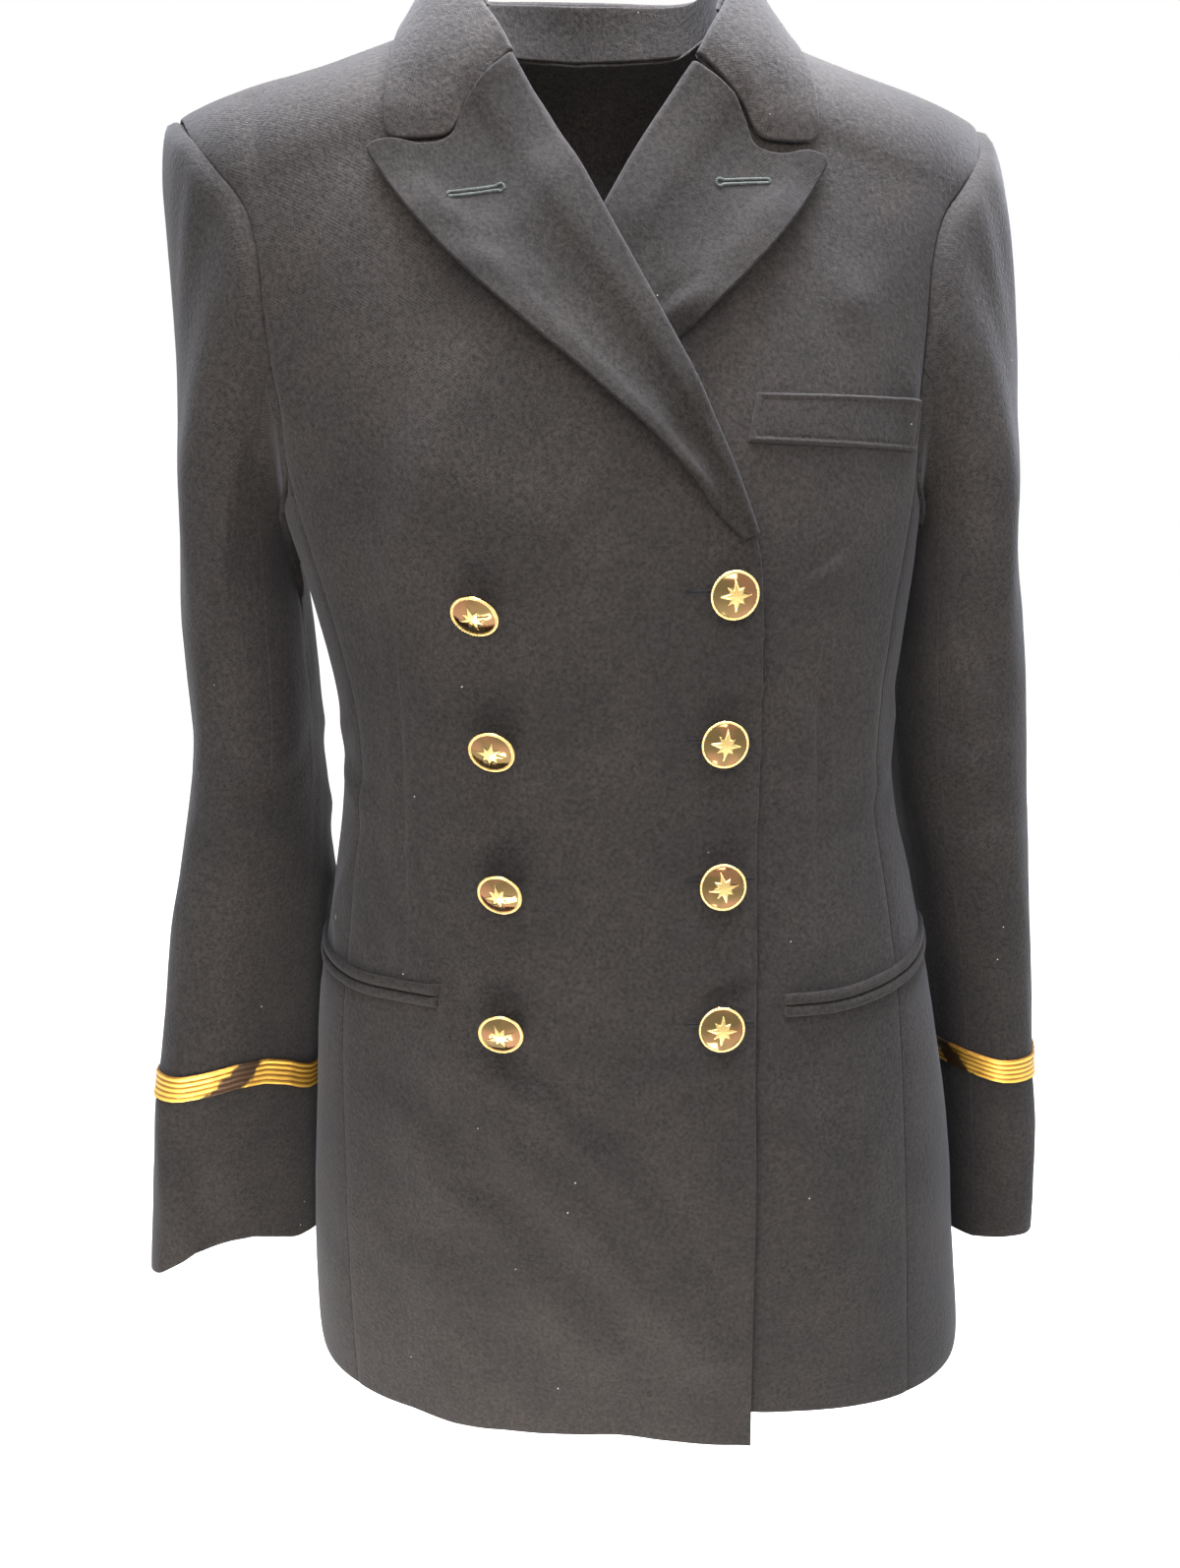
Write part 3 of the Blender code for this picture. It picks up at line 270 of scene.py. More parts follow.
# Creases of the fronts: side, kind, depth at start, middle and end, width at start and end,
# course as distance from the middle and height
FRONT_CREASES = (
    (-1, "drag", (0.3, 2.3, 0.5), (7, 10), ((-127, -407), (-107, -443), (-91, -461), (-78, -490),
                                            (-45, -510), (-12, -542), (15, -575), (44, -628))),
    (-1, "ridge", (0.2, 1.5, 0.1), (9, 15), ((-128, -523), (-93, -546), (-53, -585))),
    (-1, "drag", (0.2, 1.1, 0.2), (6, 8), ((-96, -566), (-78, -573), (-63, -581), (-48, -593))),
    (-1, "ridge", (0.3, 1.2, 0.2), (14, 18), ((-154, -610), (-92, -622), (-35, -640))),
    (-1, "seam", (0.3, 1.1, 0.6), (1.9, 1.9), ((-114.7, -247), (-108.5, -254), (-105, -288),
                                               (-104.6, -325), (-104.4, -362), (-105.8, -452))),
    (-1, "ridge", (0.3, 1.8, 0.4), (7, 8), ((-142, -208), (-146, -169), (-154, -132))),
    (-1, "trough", (0.8, 1.3, 0.3), (5, 5), ((-151.7, -52), (-150, -73), (-150, -89),
                                             (-151, -109))),
    (-1, "drag", (0.2, 1.0, 0.2), (12, 14), ((-112, -258), (-86, -268), (-55, -281), (-25, -295))),
    (-1, "ridge", (0.2, 0.9, 0.1), (13, 10), ((-110, -205), (-78, -213), (-44, -229),
                                              (-20, -248))),
    (-1, "drag", (0.2, 1.3, 0.1), (6, 8), ((74, -496), (52, -495), (30, -499), (4, -512))),
    (-1, "ridge", (0.2, 1.4, 0.2), (7, 9), ((68, -436), (52, -431), (34, -433), (12, -441))),
    (-1, "drag", (0.9, 0.9, 0.0), (4, 6), ((67, -283), (58, -284), (44, -289), (26, -298))),
    (-1, "drag", (1.0, 0.8, 0.0), (4, 6), ((67, -309), (57, -308), (42, -305), (22, -306))),
    (-1, "drag", (0.9, 0.9, 0.0), (4, 7), ((67, -368), (55, -366), (38, -368), (16, -376))),
    (-1, "drag", (1.1, 1.0, 0.0), (4, 7), ((68, -447), (56, -449), (40, -455), (20, -463))),
    (-1, "drag", (0.6, 1.2, 0.0), (5, 10), ((44, -484), (22, -500), (-6, -518), (-30, -528))),
    (-1, "ridge", (0.3, 0.9, 0.0), (5, 10), ((43, -272), (24, -284), (0, -302))),
    (-1, "ridge", (0.3, 0.8, 0.0), (5, 9), ((40, -338), (20, -346), (-4, -352))),
    (-1, "trough", (0.2, 1.0, 0.1), (9, 13), ((-30, -330), (-62, -352), (-96, -362))),
    (-1, "ridge", (0.2, 1.2, 0.1), (10, 13), ((-28, -356), (-66, -382), (-108, -392))),
    (-1, "drag", (0.2, 1.3, 0.2), (6, 9), ((-152, -352), (-136, -372), (-118, -382))),
    (-1, "drag", (0.6, 1.0, 0.2), (5, 7), ((-150, -457), (-154, -440), (-146, -422),
                                           (-134, -404))),
    (1, "seam", (0.3, 1.1, 0.5), (1.9, 1.9), ((104, -258), (99, -302), (98, -336), (100, -385),
                                              (100.7, -436))),
    (1, "drag", (0.2, 1.5, 0.2), (4, 4), ((82, -268), (92, -262), (103, -255), (116, -247))),
    (1, "ridge", (0.3, 1.6, 0.2), (10, 13), ((96, -122), (110, -138), (120, -156))),
    (1, "ridge", (0.3, 1.4, 0.2), (7, 8), ((143, -212), (141, -176), (147, -136))),
    (1, "ridge", (0.2, 1.2, 0.1), (9, 12), ((140, -287), (129, -315), (126, -365))),
    (1, "drag", (0.2, 1.2, 0.2), (7, 10), ((150, -342), (134, -362), (112, -370), (88, -374))),
    (1, "drag", (0.4, 1.6, 0.2), (8, 13), ((66, -500), (86, -524), (101, -558), (108, -600))),
    (1, "ridge", (0.2, 1.3, 0.2), (12, 15), ((134, -520), (128, -570), (96, -630))),
    (1, "drag", (0.3, 0.9, 0.1), (5, 8), ((72, -300), (84, -318), (92, -345))),
)

# Creases round the body: kind, depths, widths, course as angle from the front and height
ROUND_CREASES = (
    ("drag", (0.2, 1.7, 0.2), (8, 10), ((110, -318), (130, -335), (152, -341), (168, -336))),
    ("drag", (0.2, 1.5, 0.2), (8, 11), ((-112, -322), (-134, -344), (-156, -350), (-170, -344))),
    ("drag", (0.2, 1.2, 0.1), (7, 9), ((120, -366), (143, -379), (172, -371))),
    ("drag", (0.2, 1.4, 0.2), (8, 9), ((-116, -378), (-147, -393), (-175, -383))),
    ("ridge", (0.3, 1.6, 0.2), (12, 14), ((117, -212), (128, -258), (140, -300))),
    ("ridge", (0.3, 1.3, 0.2), (11, 13), ((-116, -206), (-130, -250), (-146, -282))),
    ("drag", (0.3, 2.0, 1.0), (13, 18), ((152, -455), (150, -560), (146, -690))),
    ("drag", (0.2, 1.9, 1.2), (14, 19), ((-144, -470), (-149, -590), (-152, -700))),
    ("ridge", (0.2, 1.6, 0.8), (14, 17), ((92, -500), (95, -600), (99, -690))),
    ("ridge", (0.2, 1.5, 0.6), (13, 18), ((-88, -505), (-92, -600), (-95, -700))),
    ("drag", (0.2, 1.2, 0.1), (7, 9), ((72, -322), (86, -338), (104, -342))),
    ("drag", (0.2, 1.3, 0.1), (7, 9), ((-70, -330), (-88, -349), (-106, -352))),
    ("drag", (0.2, 1.0, 0.2), (8, 8), ((158, -72), (176, -80), (200, -71))),
    ("ridge", (0.2, 1.0, 0.2), (10, 9), ((-172, -104), (-160, -128), (-142, -150))),
    ("trough", (0.2, 1.0, 0.2), (11, 11), ((140, -118), (158, -150), (170, -190))),
)

# Creases of the sleeves: side, kind, depths, widths, course as angle on the sleeve, 0 in front
# and 90 outside, and height
SLEEVE_CREASES = (
    (-1, "drag", (0.3, 1.6, 0.3), (6, 7), ((-19, -150), (-11, -218), (1, -276), (15, -353))),
    (-1, "ridge", (0.2, 1.1, 0.2), (7, 8), ((34, -90), (4, -96), (-21, -104))),
    (-1, "drag", (0.3, 1.4, 0.1), (7, 9), ((-52, -352), (-14, -364), (24, -360))),
    (-1, "drag", (0.3, 1.5, 0.2), (7, 9), ((-56, -404), (-13, -384), (17, -369))),
    (-1, "ridge", (0.2, 1.0, 0.1), (8, 10), ((10, -420), (30, -470), (36, -520))),
    (-1, "drag", (0.3, 2.2, 1.6), (7, 9), ((8, -530), (-6, -575), (-16, -612), (-22, -640))),
    (-1, "ridge", (0.2, 1.2, 0.3), (10, 12), ((62, -520), (52, -580), (46, -640))),
    (-1, "ridge", (0.2, 1.1, 0.1), (7, 8), ((60, -64), (48, -100), (44, -150))),
    (-1, "drag", (0.2, 1.9, 0.2), (9, 9), ((140, -338), (184, -352), (236, -342))),
    (-1, "drag", (0.2, 1.5, 0.2), (8, 10), ((150, -382), (194, -398), (240, -384))),
    (-1, "drag", (0.2, 1.3, 0.2), (8, 10), ((158, -428), (200, -440), (244, -428))),
    (-1, "ridge", (0.2, 1.4, 0.2), (10, 12), ((118, -150), (128, -220), (140, -290))),
    (-1, "trough", (0.2, 1.2, 0.2), (9, 10), ((240, -262), (262, -300), (286, -318))),
    (1, "ridge", (0.4, 1.6, 0.2), (5, 6), ((-24, -86), (-8, -135), (-3, -160))),
    (1, "drag", (0.2, 1.4, 0.2), (7, 9), ((-26, -250), (-16, -300), (2, -345))),
    (1, "drag", (0.3, 1.4, 0.1), (7, 9), ((-54, -346), (-16, -358), (22, -352))),
    (1, "drag", (0.3, 1.3, 0.2), (7, 9), ((-50, -392), (-14, -404), (26, -390))),
    (1, "ridge", (0.2, 1.2, 0.2), (9, 11), ((20, -440), (34, -500), (38, -560))),
    (1, "drag", (0.3, 1.5, 1.0), (8, 9), ((18, -556), (10, -600), (8, -642))),
    (1, "ridge", (0.2, 1.2, 0.2), (7, 8), ((56, -66), (42, -104), (36, -160))),
    (1, "drag", (0.2, 1.8, 0.2), (9, 9), ((138, -332), (178, -348), (230, -338))),
    (1, "drag", (0.2, 1.4, 0.2), (8, 10), ((146, -376), (190, -390), (238, -380))),
    (1, "drag", (0.2, 1.4, 0.2), (8, 11), ((160, -422), (205, -432), (250, -424))),
    (1, "ridge", (0.2, 1.3, 0.2), (10, 12), ((116, -146), (130, -210), (138, -280))),
    (1, "trough", (0.2, 1.2, 0.2), (9, 10), ((238, -258), (258, -292), (284, -322))),
)

WELT_RIDGE = 0.5       # raised outline of the breast pocket's welt
WELT_STITCH = 3.4      # pitch of the stitches pricked along it, in mm
WELT_RIDGE_IN = 1.2
WELT_RIDGE_HALF = 0.9
WELT_STITCH_IN = 2.9
WELT_STITCH_HALF = 0.55
WELT_STITCH_DEPTH = 0.4
LACE_COLUMNS = 240
LACE_RIBS = 60
LACE_ROWS = 22
CORD_IN = 0.9          # the cords woven along the lace, inside its edges
CORD_HALF = 0.55
INNER_CORD_IN = 3.6
INNER_CORD_HALF = 0.6

# Worked buttonholes: name, the piece each is worked in, its two ends as distance from the
# middle and height, the eye at the first
HOLES = (
    ("lapel_right", "lapel_right", (-44.2, -98.0), (-66.6, -101.2)),
    ("lapel_left", "lapel_left", (46.4, -93.2), (68.6, -92.0)),
    ("front_1", "front_right", (32.0, -264.5), (60.0, -264.5)),
    ("front_2", "front_right", (33.0, -333.5), (62.0, -333.5)),
    ("front_3", "front_right", (33.8, -402.0), (66.0, -402.0)),
    ("front_4", "front_right", (34.2, -472.5), (66.4, -472.5)),
)
# How far off the body a hole is sought, how tall its row of stitches is, radius of its eye
HOLE_FORMS = {"lapel": (8.0, 1.5, 1.6), "front": (4.0, 1.3, 1.3)}
STITCH_PITCH = 0.8
STITCH_REACH = 0.42    # of a stitch to each side and up, as a share of the row's height
STITCH_WAVE = 0.13     # and how much further it reaches at its middle
HOLE_STEPS = 260
HOLE_SUNK = 0.15       # the foot of the stitches lies this far in the cloth

# Face of a button, in mm: its dome, the star on it and the beaded rim
DOME_TOP = 8.2
DOME_FALL = 2.4
DOME_RADIUS = 10.1
STAR_POINTS = 8
STAR_LONG = 7.4
STAR_SHORT = 5.4
STAR_VALLEY = 3.3
STAR_RISE = 0.75
STAR_EDGE = 0.55       # share of that rise at the star's edge
STAR_SLOPE = 0.25
RIM_BEADS = 52
RIM_RADIUS_BEADS = 10.6
BEAD_RADIUS = 0.62
RIM_HEIGHT = 5.75
BUTTON_COLUMNS = 208
DOME_RINGS = 26
RIM_RINGS = 9
# Back of a button, from its rim to the middle of its back: radius, height
BUTTON_BACK = ((11.25, 5.5), (11.2, 4.9), (10.8, 4.4), (9.9, 4.0), (5.0, 3.5), (2.4, 3.4),
               (0.02, 3.4))
LOOP_RADIUS = 1.5
WIRE_RADIUS = 0.65
LOOP_TOP = 4.2         # the wire ends inside the button's back

# Looks of the cloth and the metal. A scale is that of a noise or a wave, per metre.
WOOL_DARK = (0.0044, 0.0040, 0.0038)
WOOL_LIGHT = (0.0260, 0.0234, 0.0222)
WOOL_SHEEN = 0.07
WOOL_SHINE = 0.16      # specular level
WOOL_ROUGH = 0.8       # strength of the nap's relief
LAPEL_SHADE_TONE = 0.68    # painted shade: the lapels' wool is painted darker and less shiny; pressed, it is smoother
PRESSED_ROUGH = 0.4
TWILL_SCALE = 480.0
NAP_SCALE = 1300.0
TUFT_SCALE = 520.0
CLUMP_SCALE = 380.0
PILE_DEPTH = 0.0010
NAP_SHARE = 0.50       # shares of the nap, its tufts and the twill in the cloth's fleck
TUFT_SHARE = 0.42
TWILL_SHARE = 0.08
CLUMP_SHARE = 0.55     # share of the broader clumps in its relief
FLECK_RANGE = (0.30, 0.70)
WOOL_ROUGHNESS = 0.76
NAP_ROUGHNESS = 0.18   # the nap adds up to this
SHEEN_TINT = (0.86, 0.90, 1.0, 1)
SHEEN_ROUGHNESS = 0.42
FADE_SCALE = 24.0
FADE_RANGE = (0.30, 0.72)
FADE_LOW = (0.86, 0.86, 0.88, 1)
FADE_HIGH = (1.14, 1.12, 1.10, 1)
LINT_SCALE = 100.0
LINT_SIZE = 0.035
LINT_CHANCE_SCALE = 40.0
LINT_RARE = 0.66       # a cell holds lint where its noise is over this
LINT_COLOR = (0.42, 0.42, 0.42, 1)
# Gilt: the low field of a button is painted dark brown, a painted dark reflection and shade,
# blotched warmer as painted reflections; the raised star and beads are painted bright gold, a
# painted highlight
GILT_PAINTED_DARK = (0.20, 0.135, 0.055, 1)
GILT_REFLECTION_BLOTCH = (0.31, 0.160, 0.075, 1)
GILT_HIGH = (0.90, 0.64, 0.24, 1)
REFLECTION_BLOTCH_SCALE = 85.0
STAIN_SCALE = 420.0
SCRATCH_SCALE = 2600.0
# Lace colours: the weave is painted darker in its lows and lighter on its ribs, painted shade and
# painted highlight, with painted glints
LACE_LOW = (0.27, 0.115, 0.016, 1)
LACE_HIGH = (0.86, 0.53, 0.09, 1)
# A stretch of the lace painted dark brown, a painted shadow and dark reflection
LACE_PAINTED_SHADOW = (0.062, 0.034, 0.017, 1)
LACE_SHADOW_SCALE = 110.0
LACE_SHADOW_AT = 0.0995  # middle of the stretch of painted shadow and dark reflection, in metres along the lace
LACE_SHADOW_HALF = 0.010
LACE_SHADOW_SLANT = 0.9
LACE_WIRE_SCALE = 380.0
LACE_CROSS_SCALE = 108.0
LACE_GRAIN_SCALE = 1500.0
GLINT_SCALE = 90.0
FIBRE_SCALE = 1900.0   # of the threads, with the slow change of colour of silk
SILK_SCALE = 160.0
HOLE_THREAD_LOW = (0.004, 0.007, 0.006, 1)
HOLE_THREAD_HIGH = (0.032, 0.038, 0.035, 1)
NAVY_THREAD_LOW = (0.0015, 0.0015, 0.0020, 1)
NAVY_THREAD_HIGH = (0.0110, 0.0110, 0.0135, 1)

# The studio: white up to a height above the horizon, then a dark ceiling. Heights are sines.
WORLD_WHITE = (1.0, 1.0, 1.0, 1)
WORLD_CEILING = (0.16, 0.17, 0.19, 1)
CEILING_STARTS = 0.53
CEILING_WHOLE = 0.66
# Lights: name, place, aim, size, power, colour
LIGHTS = (
    ("key", (-0.06, -0.50, 0.86), (-0.01, -0.02, -0.10), (0.8, 0.4), 24.0, (0.94, 0.95, 1.0)),
    ("top", (0.07, -0.08, 0.52), (0.04, 0.0, 0.0), (0.5, 0.2), 43.0, (0.92, 0.94, 1.0)),
    ("front", (0.0, -0.46, -0.02), (0.0, -0.1, -0.20), (0.5, 0.12), 3.0, (1.0, 0.90, 0.84)),
    ("low_fill", (-0.16, -0.42, -1.02), (-0.04, -0.08, -0.76), (0.5, 0.2), 8.5, (1.0, 0.90, 0.80)),
    ("side_fill", (-1.5, -1.9, 0.35), (0.0, 0.0, -0.25), (0.8, 1.2), 10.0, (1.0, 0.95, 0.90)),
    ("back_fill", (0.7, 2.0, 0.5), (0.0, 0.0, -0.3), (0.8, 1.2), 34.0, (1.0, 0.97, 0.94)),
    ("left_fill", (2.0, -0.1, 0.3), (0.0, 0.0, -0.3), (0.8, 1.2), 16.0, (1.0, 0.97, 0.94)),
)
FLOOR_SIZE = 24000.0
FLOOR_LOW = (0.86, 0.86, 0.86, 1)
FLOOR_HIGH = (0.9, 0.9, 0.9, 1)
FLOOR_GLOW = 0.72      # the white sweep is lit evenly from within the studio
FLOOR_HEIGHT = -1550.0  # the wearer's feet stand here

CAMERA = (-0.007, -0.640, -0.225)
CAMERA_PITCH = 13.5
LENS = 27.08

SURFACES = {}          # finished outer points and normals of each cloth piece, by name
CUTS = []              # what each cloth piece was cut to


# ---- curves and tables

def spline(rows, where):
    """Read the smooth curve through rows (first column ascending) at each place."""
    rows = np.asarray(rows, float)
    knots, values = rows[:, 0], rows[:, 1:]
    steps = np.diff(knots)[:, None]
    slopes = np.diff(values, axis=0) / steps
    tangents = np.vstack([slopes[:1], (slopes[:-1] * steps[1:] + slopes[1:] * steps[:-1])
                          / (steps[:-1] + steps[1:]), slopes[-1:]])
    where = np.clip(np.asarray(where, float), knots[0], knots[-1])
    index = np.clip(np.searchsorted(knots, where, side="right") - 1, 0, len(knots) - 2)
    width = steps[index, 0]
    t = ((where - knots[index]) / width)[..., None]
    width = width[..., None]
    low, high = values[index], values[index + 1]
    return (low * (1 + 2 * t) * (1 - t) ** 2 + high * t ** 2 * (3 - 2 * t)
            + width * (tangents[index] * t * (1 - t) ** 2
                       - tangents[index + 1] * t ** 2 * (1 - t)))


def along(points, shares):
    """Points at given shares, 0 to 1, of the length of a smooth curve through points."""
    points = np.asarray(points, float)
    lengths = np.concatenate([[0], np.cumsum(steps_along(points, 0))])
    return spline(np.column_stack([lengths, points]), np.asarray(shares) * lengths[-1])


def even(count):
    """Evenly spaced shares from 0 to 1."""
    return np.linspace(0, 1, count)


def smoothstep(value):
    value = np.clip(value, 0.0, 1.0)
    return value * value * (3 - 2 * value)


def between(low, high, share):
    """low at share 0, high at share 1."""
    return (1 - share) * low + share * high


def unit(vectors):
    return vectors / np.linalg.norm(vectors, axis=-1, keepdims=True)


def steps_along(points, axis):
    """Distances between neighbouring points of a grid along one of its axes."""
    return np.linalg.norm(np.diff(points, axis=axis), axis=-1)


def oval(angle, width, depth, roundness):
    """Parts towards 90 and towards 0 degrees of a place on a rounded section."""
    radius = (np.abs(np.sin(angle) / width) ** roundness
              + np.abs(np.cos(angle) / depth) ** roundness) ** (-1 / roundness)
    return radius * np.sin(angle), radius * np.cos(angle)


def patch(low, high, left, right):
    """Fill the area between four boundary curves (a Coons patch)."""
    across = even(len(low))[None, :, None]
    up = even(len(left))[:, None, None]
    low, high, left, right = low[None], high[None], left[:, None], right[:, None]
    corners = between(between(low[:, :1], low[:, -1:], across),
                      between(high[:, :1], high[:, -1:], across), up)
    return (1 - up) * low + up * high + (1 - across) * left + across * right - corners


# ---- the body surface

def shoulder_height(x):
    return spline(SHOULDER_LINE, np.abs(x))[..., 0] - SHOULDER_TILT * x


def fold_depth(side, x, z):
    total = np.zeros(np.broadcast(x, z).shape)
    for fold_side, x0, z0, x1, z1, depth, width in FRONT_FOLDS:
        if fold_side != side:
            continue
        span = np.array((x1 - x0, z1 - z0), float)
        share = np.clip(((x - x0) * span[0] + (z - z0) * span[1]) / (span @ span), 0, 1)
        away = np.hypot(x - x0 - share * span[0], z - z0 - share * span[1])
        total += depth * np.exp(-(away / width) ** 2)
    return total


def ring(angle, z):
    """Plan position of the body section at a height, angle 0 in front and 90 at the left."""
    half_width, front, back = np.moveaxis(spline(BODY, z)[..., :3], -1, 0)
    out, ahead = oval(angle, half_width, np.where(np.cos(angle) > 0, front, back), ROUNDNESS)
    return out, -ahead


def body_at(angle, cloth):
    """A point of the body's outer face. cloth is the length below the shoulder line."""
    x, _ = ring(angle, np.full(np.shape(angle), -100.0))
    for _ in range(4):
        knee = shoulder_height(x) - ROOF_HEIGHT
        level = np.minimum(knee, knee - (cloth - ROOF_ARC))
        x, y = ring(angle, level)
    turn = np.maximum(ROOF_ARC - cloth, 0) / ROOF_ARC * math.pi / 2
    z = level + ROOF_HEIGHT * np.sin(turn)
    y = y * np.cos(turn)
    sway, twist = np.moveaxis(spline(BODY, z)[..., 3:], -1, 0)
    twist = np.radians(twist)
    return np.stack([sway + x * np.cos(twist) - y * np.sin(twist),
                     x * np.sin(twist) + y * np.cos(twist), z], -1)


def body(places, lift=0.0):
    """Points at (angle, cloth) places, moved out from the body by lift."""
    angle, cloth = np.moveaxis(np.asarray(places, float), -1, 0)
    step = 1e-3
    across = body_at(angle + step, cloth) - body_at(angle - step, cloth)
    down = body_at(angle, cloth + 1.0) - body_at(angle, cloth - 1.0)
    lift = np.broadcast_to(lift, angle.shape)
    return body_at(angle, cloth) + unit(np.cross(down, across)) * lift[..., None]


def place(x, cloth):
    """Angle and cloth of a place from its distance off the middle and its signed cloth."""
    x, cloth = np.broadcast_arrays(np.asarray(x, float), np.asarray(cloth, float))
    knee = shoulder_height(x) - ROOF_HEIGHT
    level = np.minimum(knee, knee - (np.abs(cloth) - ROOF_ARC))
    half_width, front, back = np.moveaxis(spline(BODY, level)[..., :3], -1, 0)
    depth = np.where(cloth < 0, front, back)
    share = np.clip(1 - np.abs(x / half_width) ** ROUNDNESS, 0, 1) ** (1 / ROUNDNESS)
    angle = np.arctan2(x, np.where(cloth < 0, 1, -1) * depth * share)
    return np.stack([angle, np.abs(cloth)], -1)


def cloth_at(x, z):
    """Length of cloth from the shoulder line down to a height."""
    knee = shoulder_height(x) - ROOF_HEIGHT
    turn = np.arcsin(np.clip((z - knee) / ROOF_HEIGHT, 0, 1))
    return np.where(z < knee, ROOF_ARC + knee - z, ROOF_ARC * (1 - turn * 2 / math.pi))


def front_place(points, half=-1):
    """Places of points (distance off the middle, height), on the back where half is 1."""
    x, z = np.moveaxis(np.asarray(points, float), -1, 0)
    return place(x, half * (cloth_at(x, z) + 1e-6))


def angle_place(degrees, z):
    """Places at an angle from the front and a height."""
    angle = np.radians(np.asarray(degrees, float))
    x, _ = ring(angle, z)
    return np.stack([angle, cloth_at(x, z)], -1)


def hem_height(degrees, side):
    """Height of the hem. The under side's rise dies out towards the middle of the back."""
    height = spline(HEM, np.abs(degrees))[..., 0]
    if side > 0:
        height = height + UNDER_RISE * smoothstep((165 - degrees) / 75)
    return height


# ---- shared boundaries

def armhole(side, half, shares):
    """Places along one half of an armhole, share 0 at the shoulder tip, 1 at the underarm."""
    points = along(ARMHOLE_FRONT if half == "front" else ARMHOLE_BACK, shares) * (side, 1)
    places = front_place(points, -1 if half == "front" else 1)
    places[np.asarray(shares) == 0, 1] = 0.0
    return places


PANEL_SHARES = np.linspace(UNDERARM_SHARE, 0, ARMHOLE_STEPS + 1)
UNDERARM_SHARES = np.linspace(UNDERARM_SHARE, 1, UNDERARM_STEPS // 2 + 1)
SHARES = np.concatenate([PANEL_SHARES[::-1], UNDERARM_SHARES[1:]])  # of the sleeve's columns
SEAM_ROWS = 15
HEM_LEVEL = -700.0     # where the side seams are read to find their ends at the hem


def side_seam(side, which):
    """Places up the front or back side seam, from the hem to the armhole."""
    end = armhole(side, which, [UNDERARM_SHARE])[0]
    column = 0 if which == "front" else 1
    low = hem_height(spline(SIDE_SEAMS, HEM_LEVEL)[column] * side, side)
    top = body_at(end[:1], end[1:])[0, 2]
    heights = low + (top - low) * even(SEAM_ROWS + 1)
    degrees = spline(SIDE_SEAMS, heights)[..., column] * side
    places = angle_place(degrees, heights)
    slide = even(SEAM_ROWS + 1)[:, None] ** 3
    return places + (end - places[-1]) * slide


def hem_row(first, last, count, side):
    """Places along the hem between two angles."""
    angles = first + (last - first) * even(count)
    return angle_place(np.degrees(angles), hem_height(np.degrees(angles), side))


def panel(low, high, left, right, side):
    """A panel between its four sides, the two long ones pulled in by half a seam."""
    left[0], right[0], left[-1], right[-1] = low[0], low[-1], high[0], high[-1]
    grid = patch(low, high, left, right)
    gap = side * SEAM / 2 / SEAM_RADIUS
    grid[:, 0, 0] += gap
    grid[:, -1, 0] -= gap
    return grid


# ---- body panels

def plan_distance(places):
    """Distance from the middle and height of each place, before sway and turn."""
    x, y, z = np.moveaxis(body_at(places[..., 0], places[..., 1]), -1, 0)
    sway, twist = np.moveaxis(spline(BODY, z)[..., 3:], -1, 0)
    twist = np.radians(twist)
    return (x - sway) * np.cos(twist) + y * np.sin(twist), z


def under_edge(z):
    """Where the edge or the roll line of the under front runs, at each height."""
    points = np.array(FRONT_EDGE + ROLL_LINE["left"])
    return -np.interp(z, points[:, 1], points[:, 0])


def over_lift(places):
    """How far the right front stands off the body, over the left front and its lapel."""
    x, z = plan_distance(places)
    over_front = smoothstep((x - under_edge(z) + EASE + EDGE_MARGIN) / EASE)
    over_lapel = smoothstep((z - lapel_height(x) + EASE + LAPEL_MARGIN) / EASE)
    return OVERLAP_LIFT * over_front * (1 + over_lapel)


def lapel_height(x):
    """Height of the outer edge of the left lapel at each distance from the middle."""
    edge = np.array(sorted((-point[0], point[1]) for point in LAPEL_EDGE))
    return np.interp(x, edge[:, 0], edge[:, 1])


def front_lift(places, side):
    """Lift of a whole front, with its folds."""
    folds = fold_depth(side, *plan_distance(places))
    return folds + (over_lift(places) if side < 0 else 0.0)


def front_boundary(side):
    """Places up the front edge and the roll line to the neck point."""
    low = hem_height(22.0 * -side, side)
    edge = [point for point in FRONT_EDGE if point[1] > low + 30]
    edge = [(np.interp(low, *np.transpose(FRONT_EDGE)[::-1]), low)] + edge
    roll = ROLL_LINE[NAMES[side]]
    lower = along(edge + [roll[0]], even(SEAM_ROWS + 1))
    upper = along(roll + UNDER_COLLAR, even(ARMHOLE_STEPS))
    points = np.concatenate([lower, upper[1:]]) * (-side, 1)
    places = front_place(points)
    hidden = smoothstep((points[:, 1] - roll[0][1] + 6) / 14)
    places[:, 0] += side * FOLD_INSET / SEAM_RADIUS * hidden
    neck = place(side * NECK_POINT, np.array(-1e-6))[None]
    return np.concatenate([places, neck])


def front_panel(side):
    left = front_boundary(side)
    shares = armhole(side, "front", PANEL_SHARES)
    right = np.concatenate([side_seam(side, "front"), shares[1:]])
    low = hem_row(left[0, 0], right[0, 0], FRONT_COLUMNS, side)
    blend = even(FRONT_COLUMNS)
    top_x = side * (NECK_POINT + (SHOULDER_TIP - NECK_POINT) * blend)
    grid = panel(low, place(top_x, -1e-6), left, right, side)
    grid[-1, :, 1] = SEAM / 2
    return grid


def side_panel(side):
    left, right = side_seam(side, "front"), side_seam(side, "back")
    front = armhole(side, "front", UNDERARM_SHARES)
    back = armhole(side, "back", UNDERARM_SHARES[::-1])
    low = hem_row(left[0, 0], right[0, 0], UNDERARM_STEPS + 1, side)
    return panel(low, np.concatenate([front, back[1:]]), left, right, side)


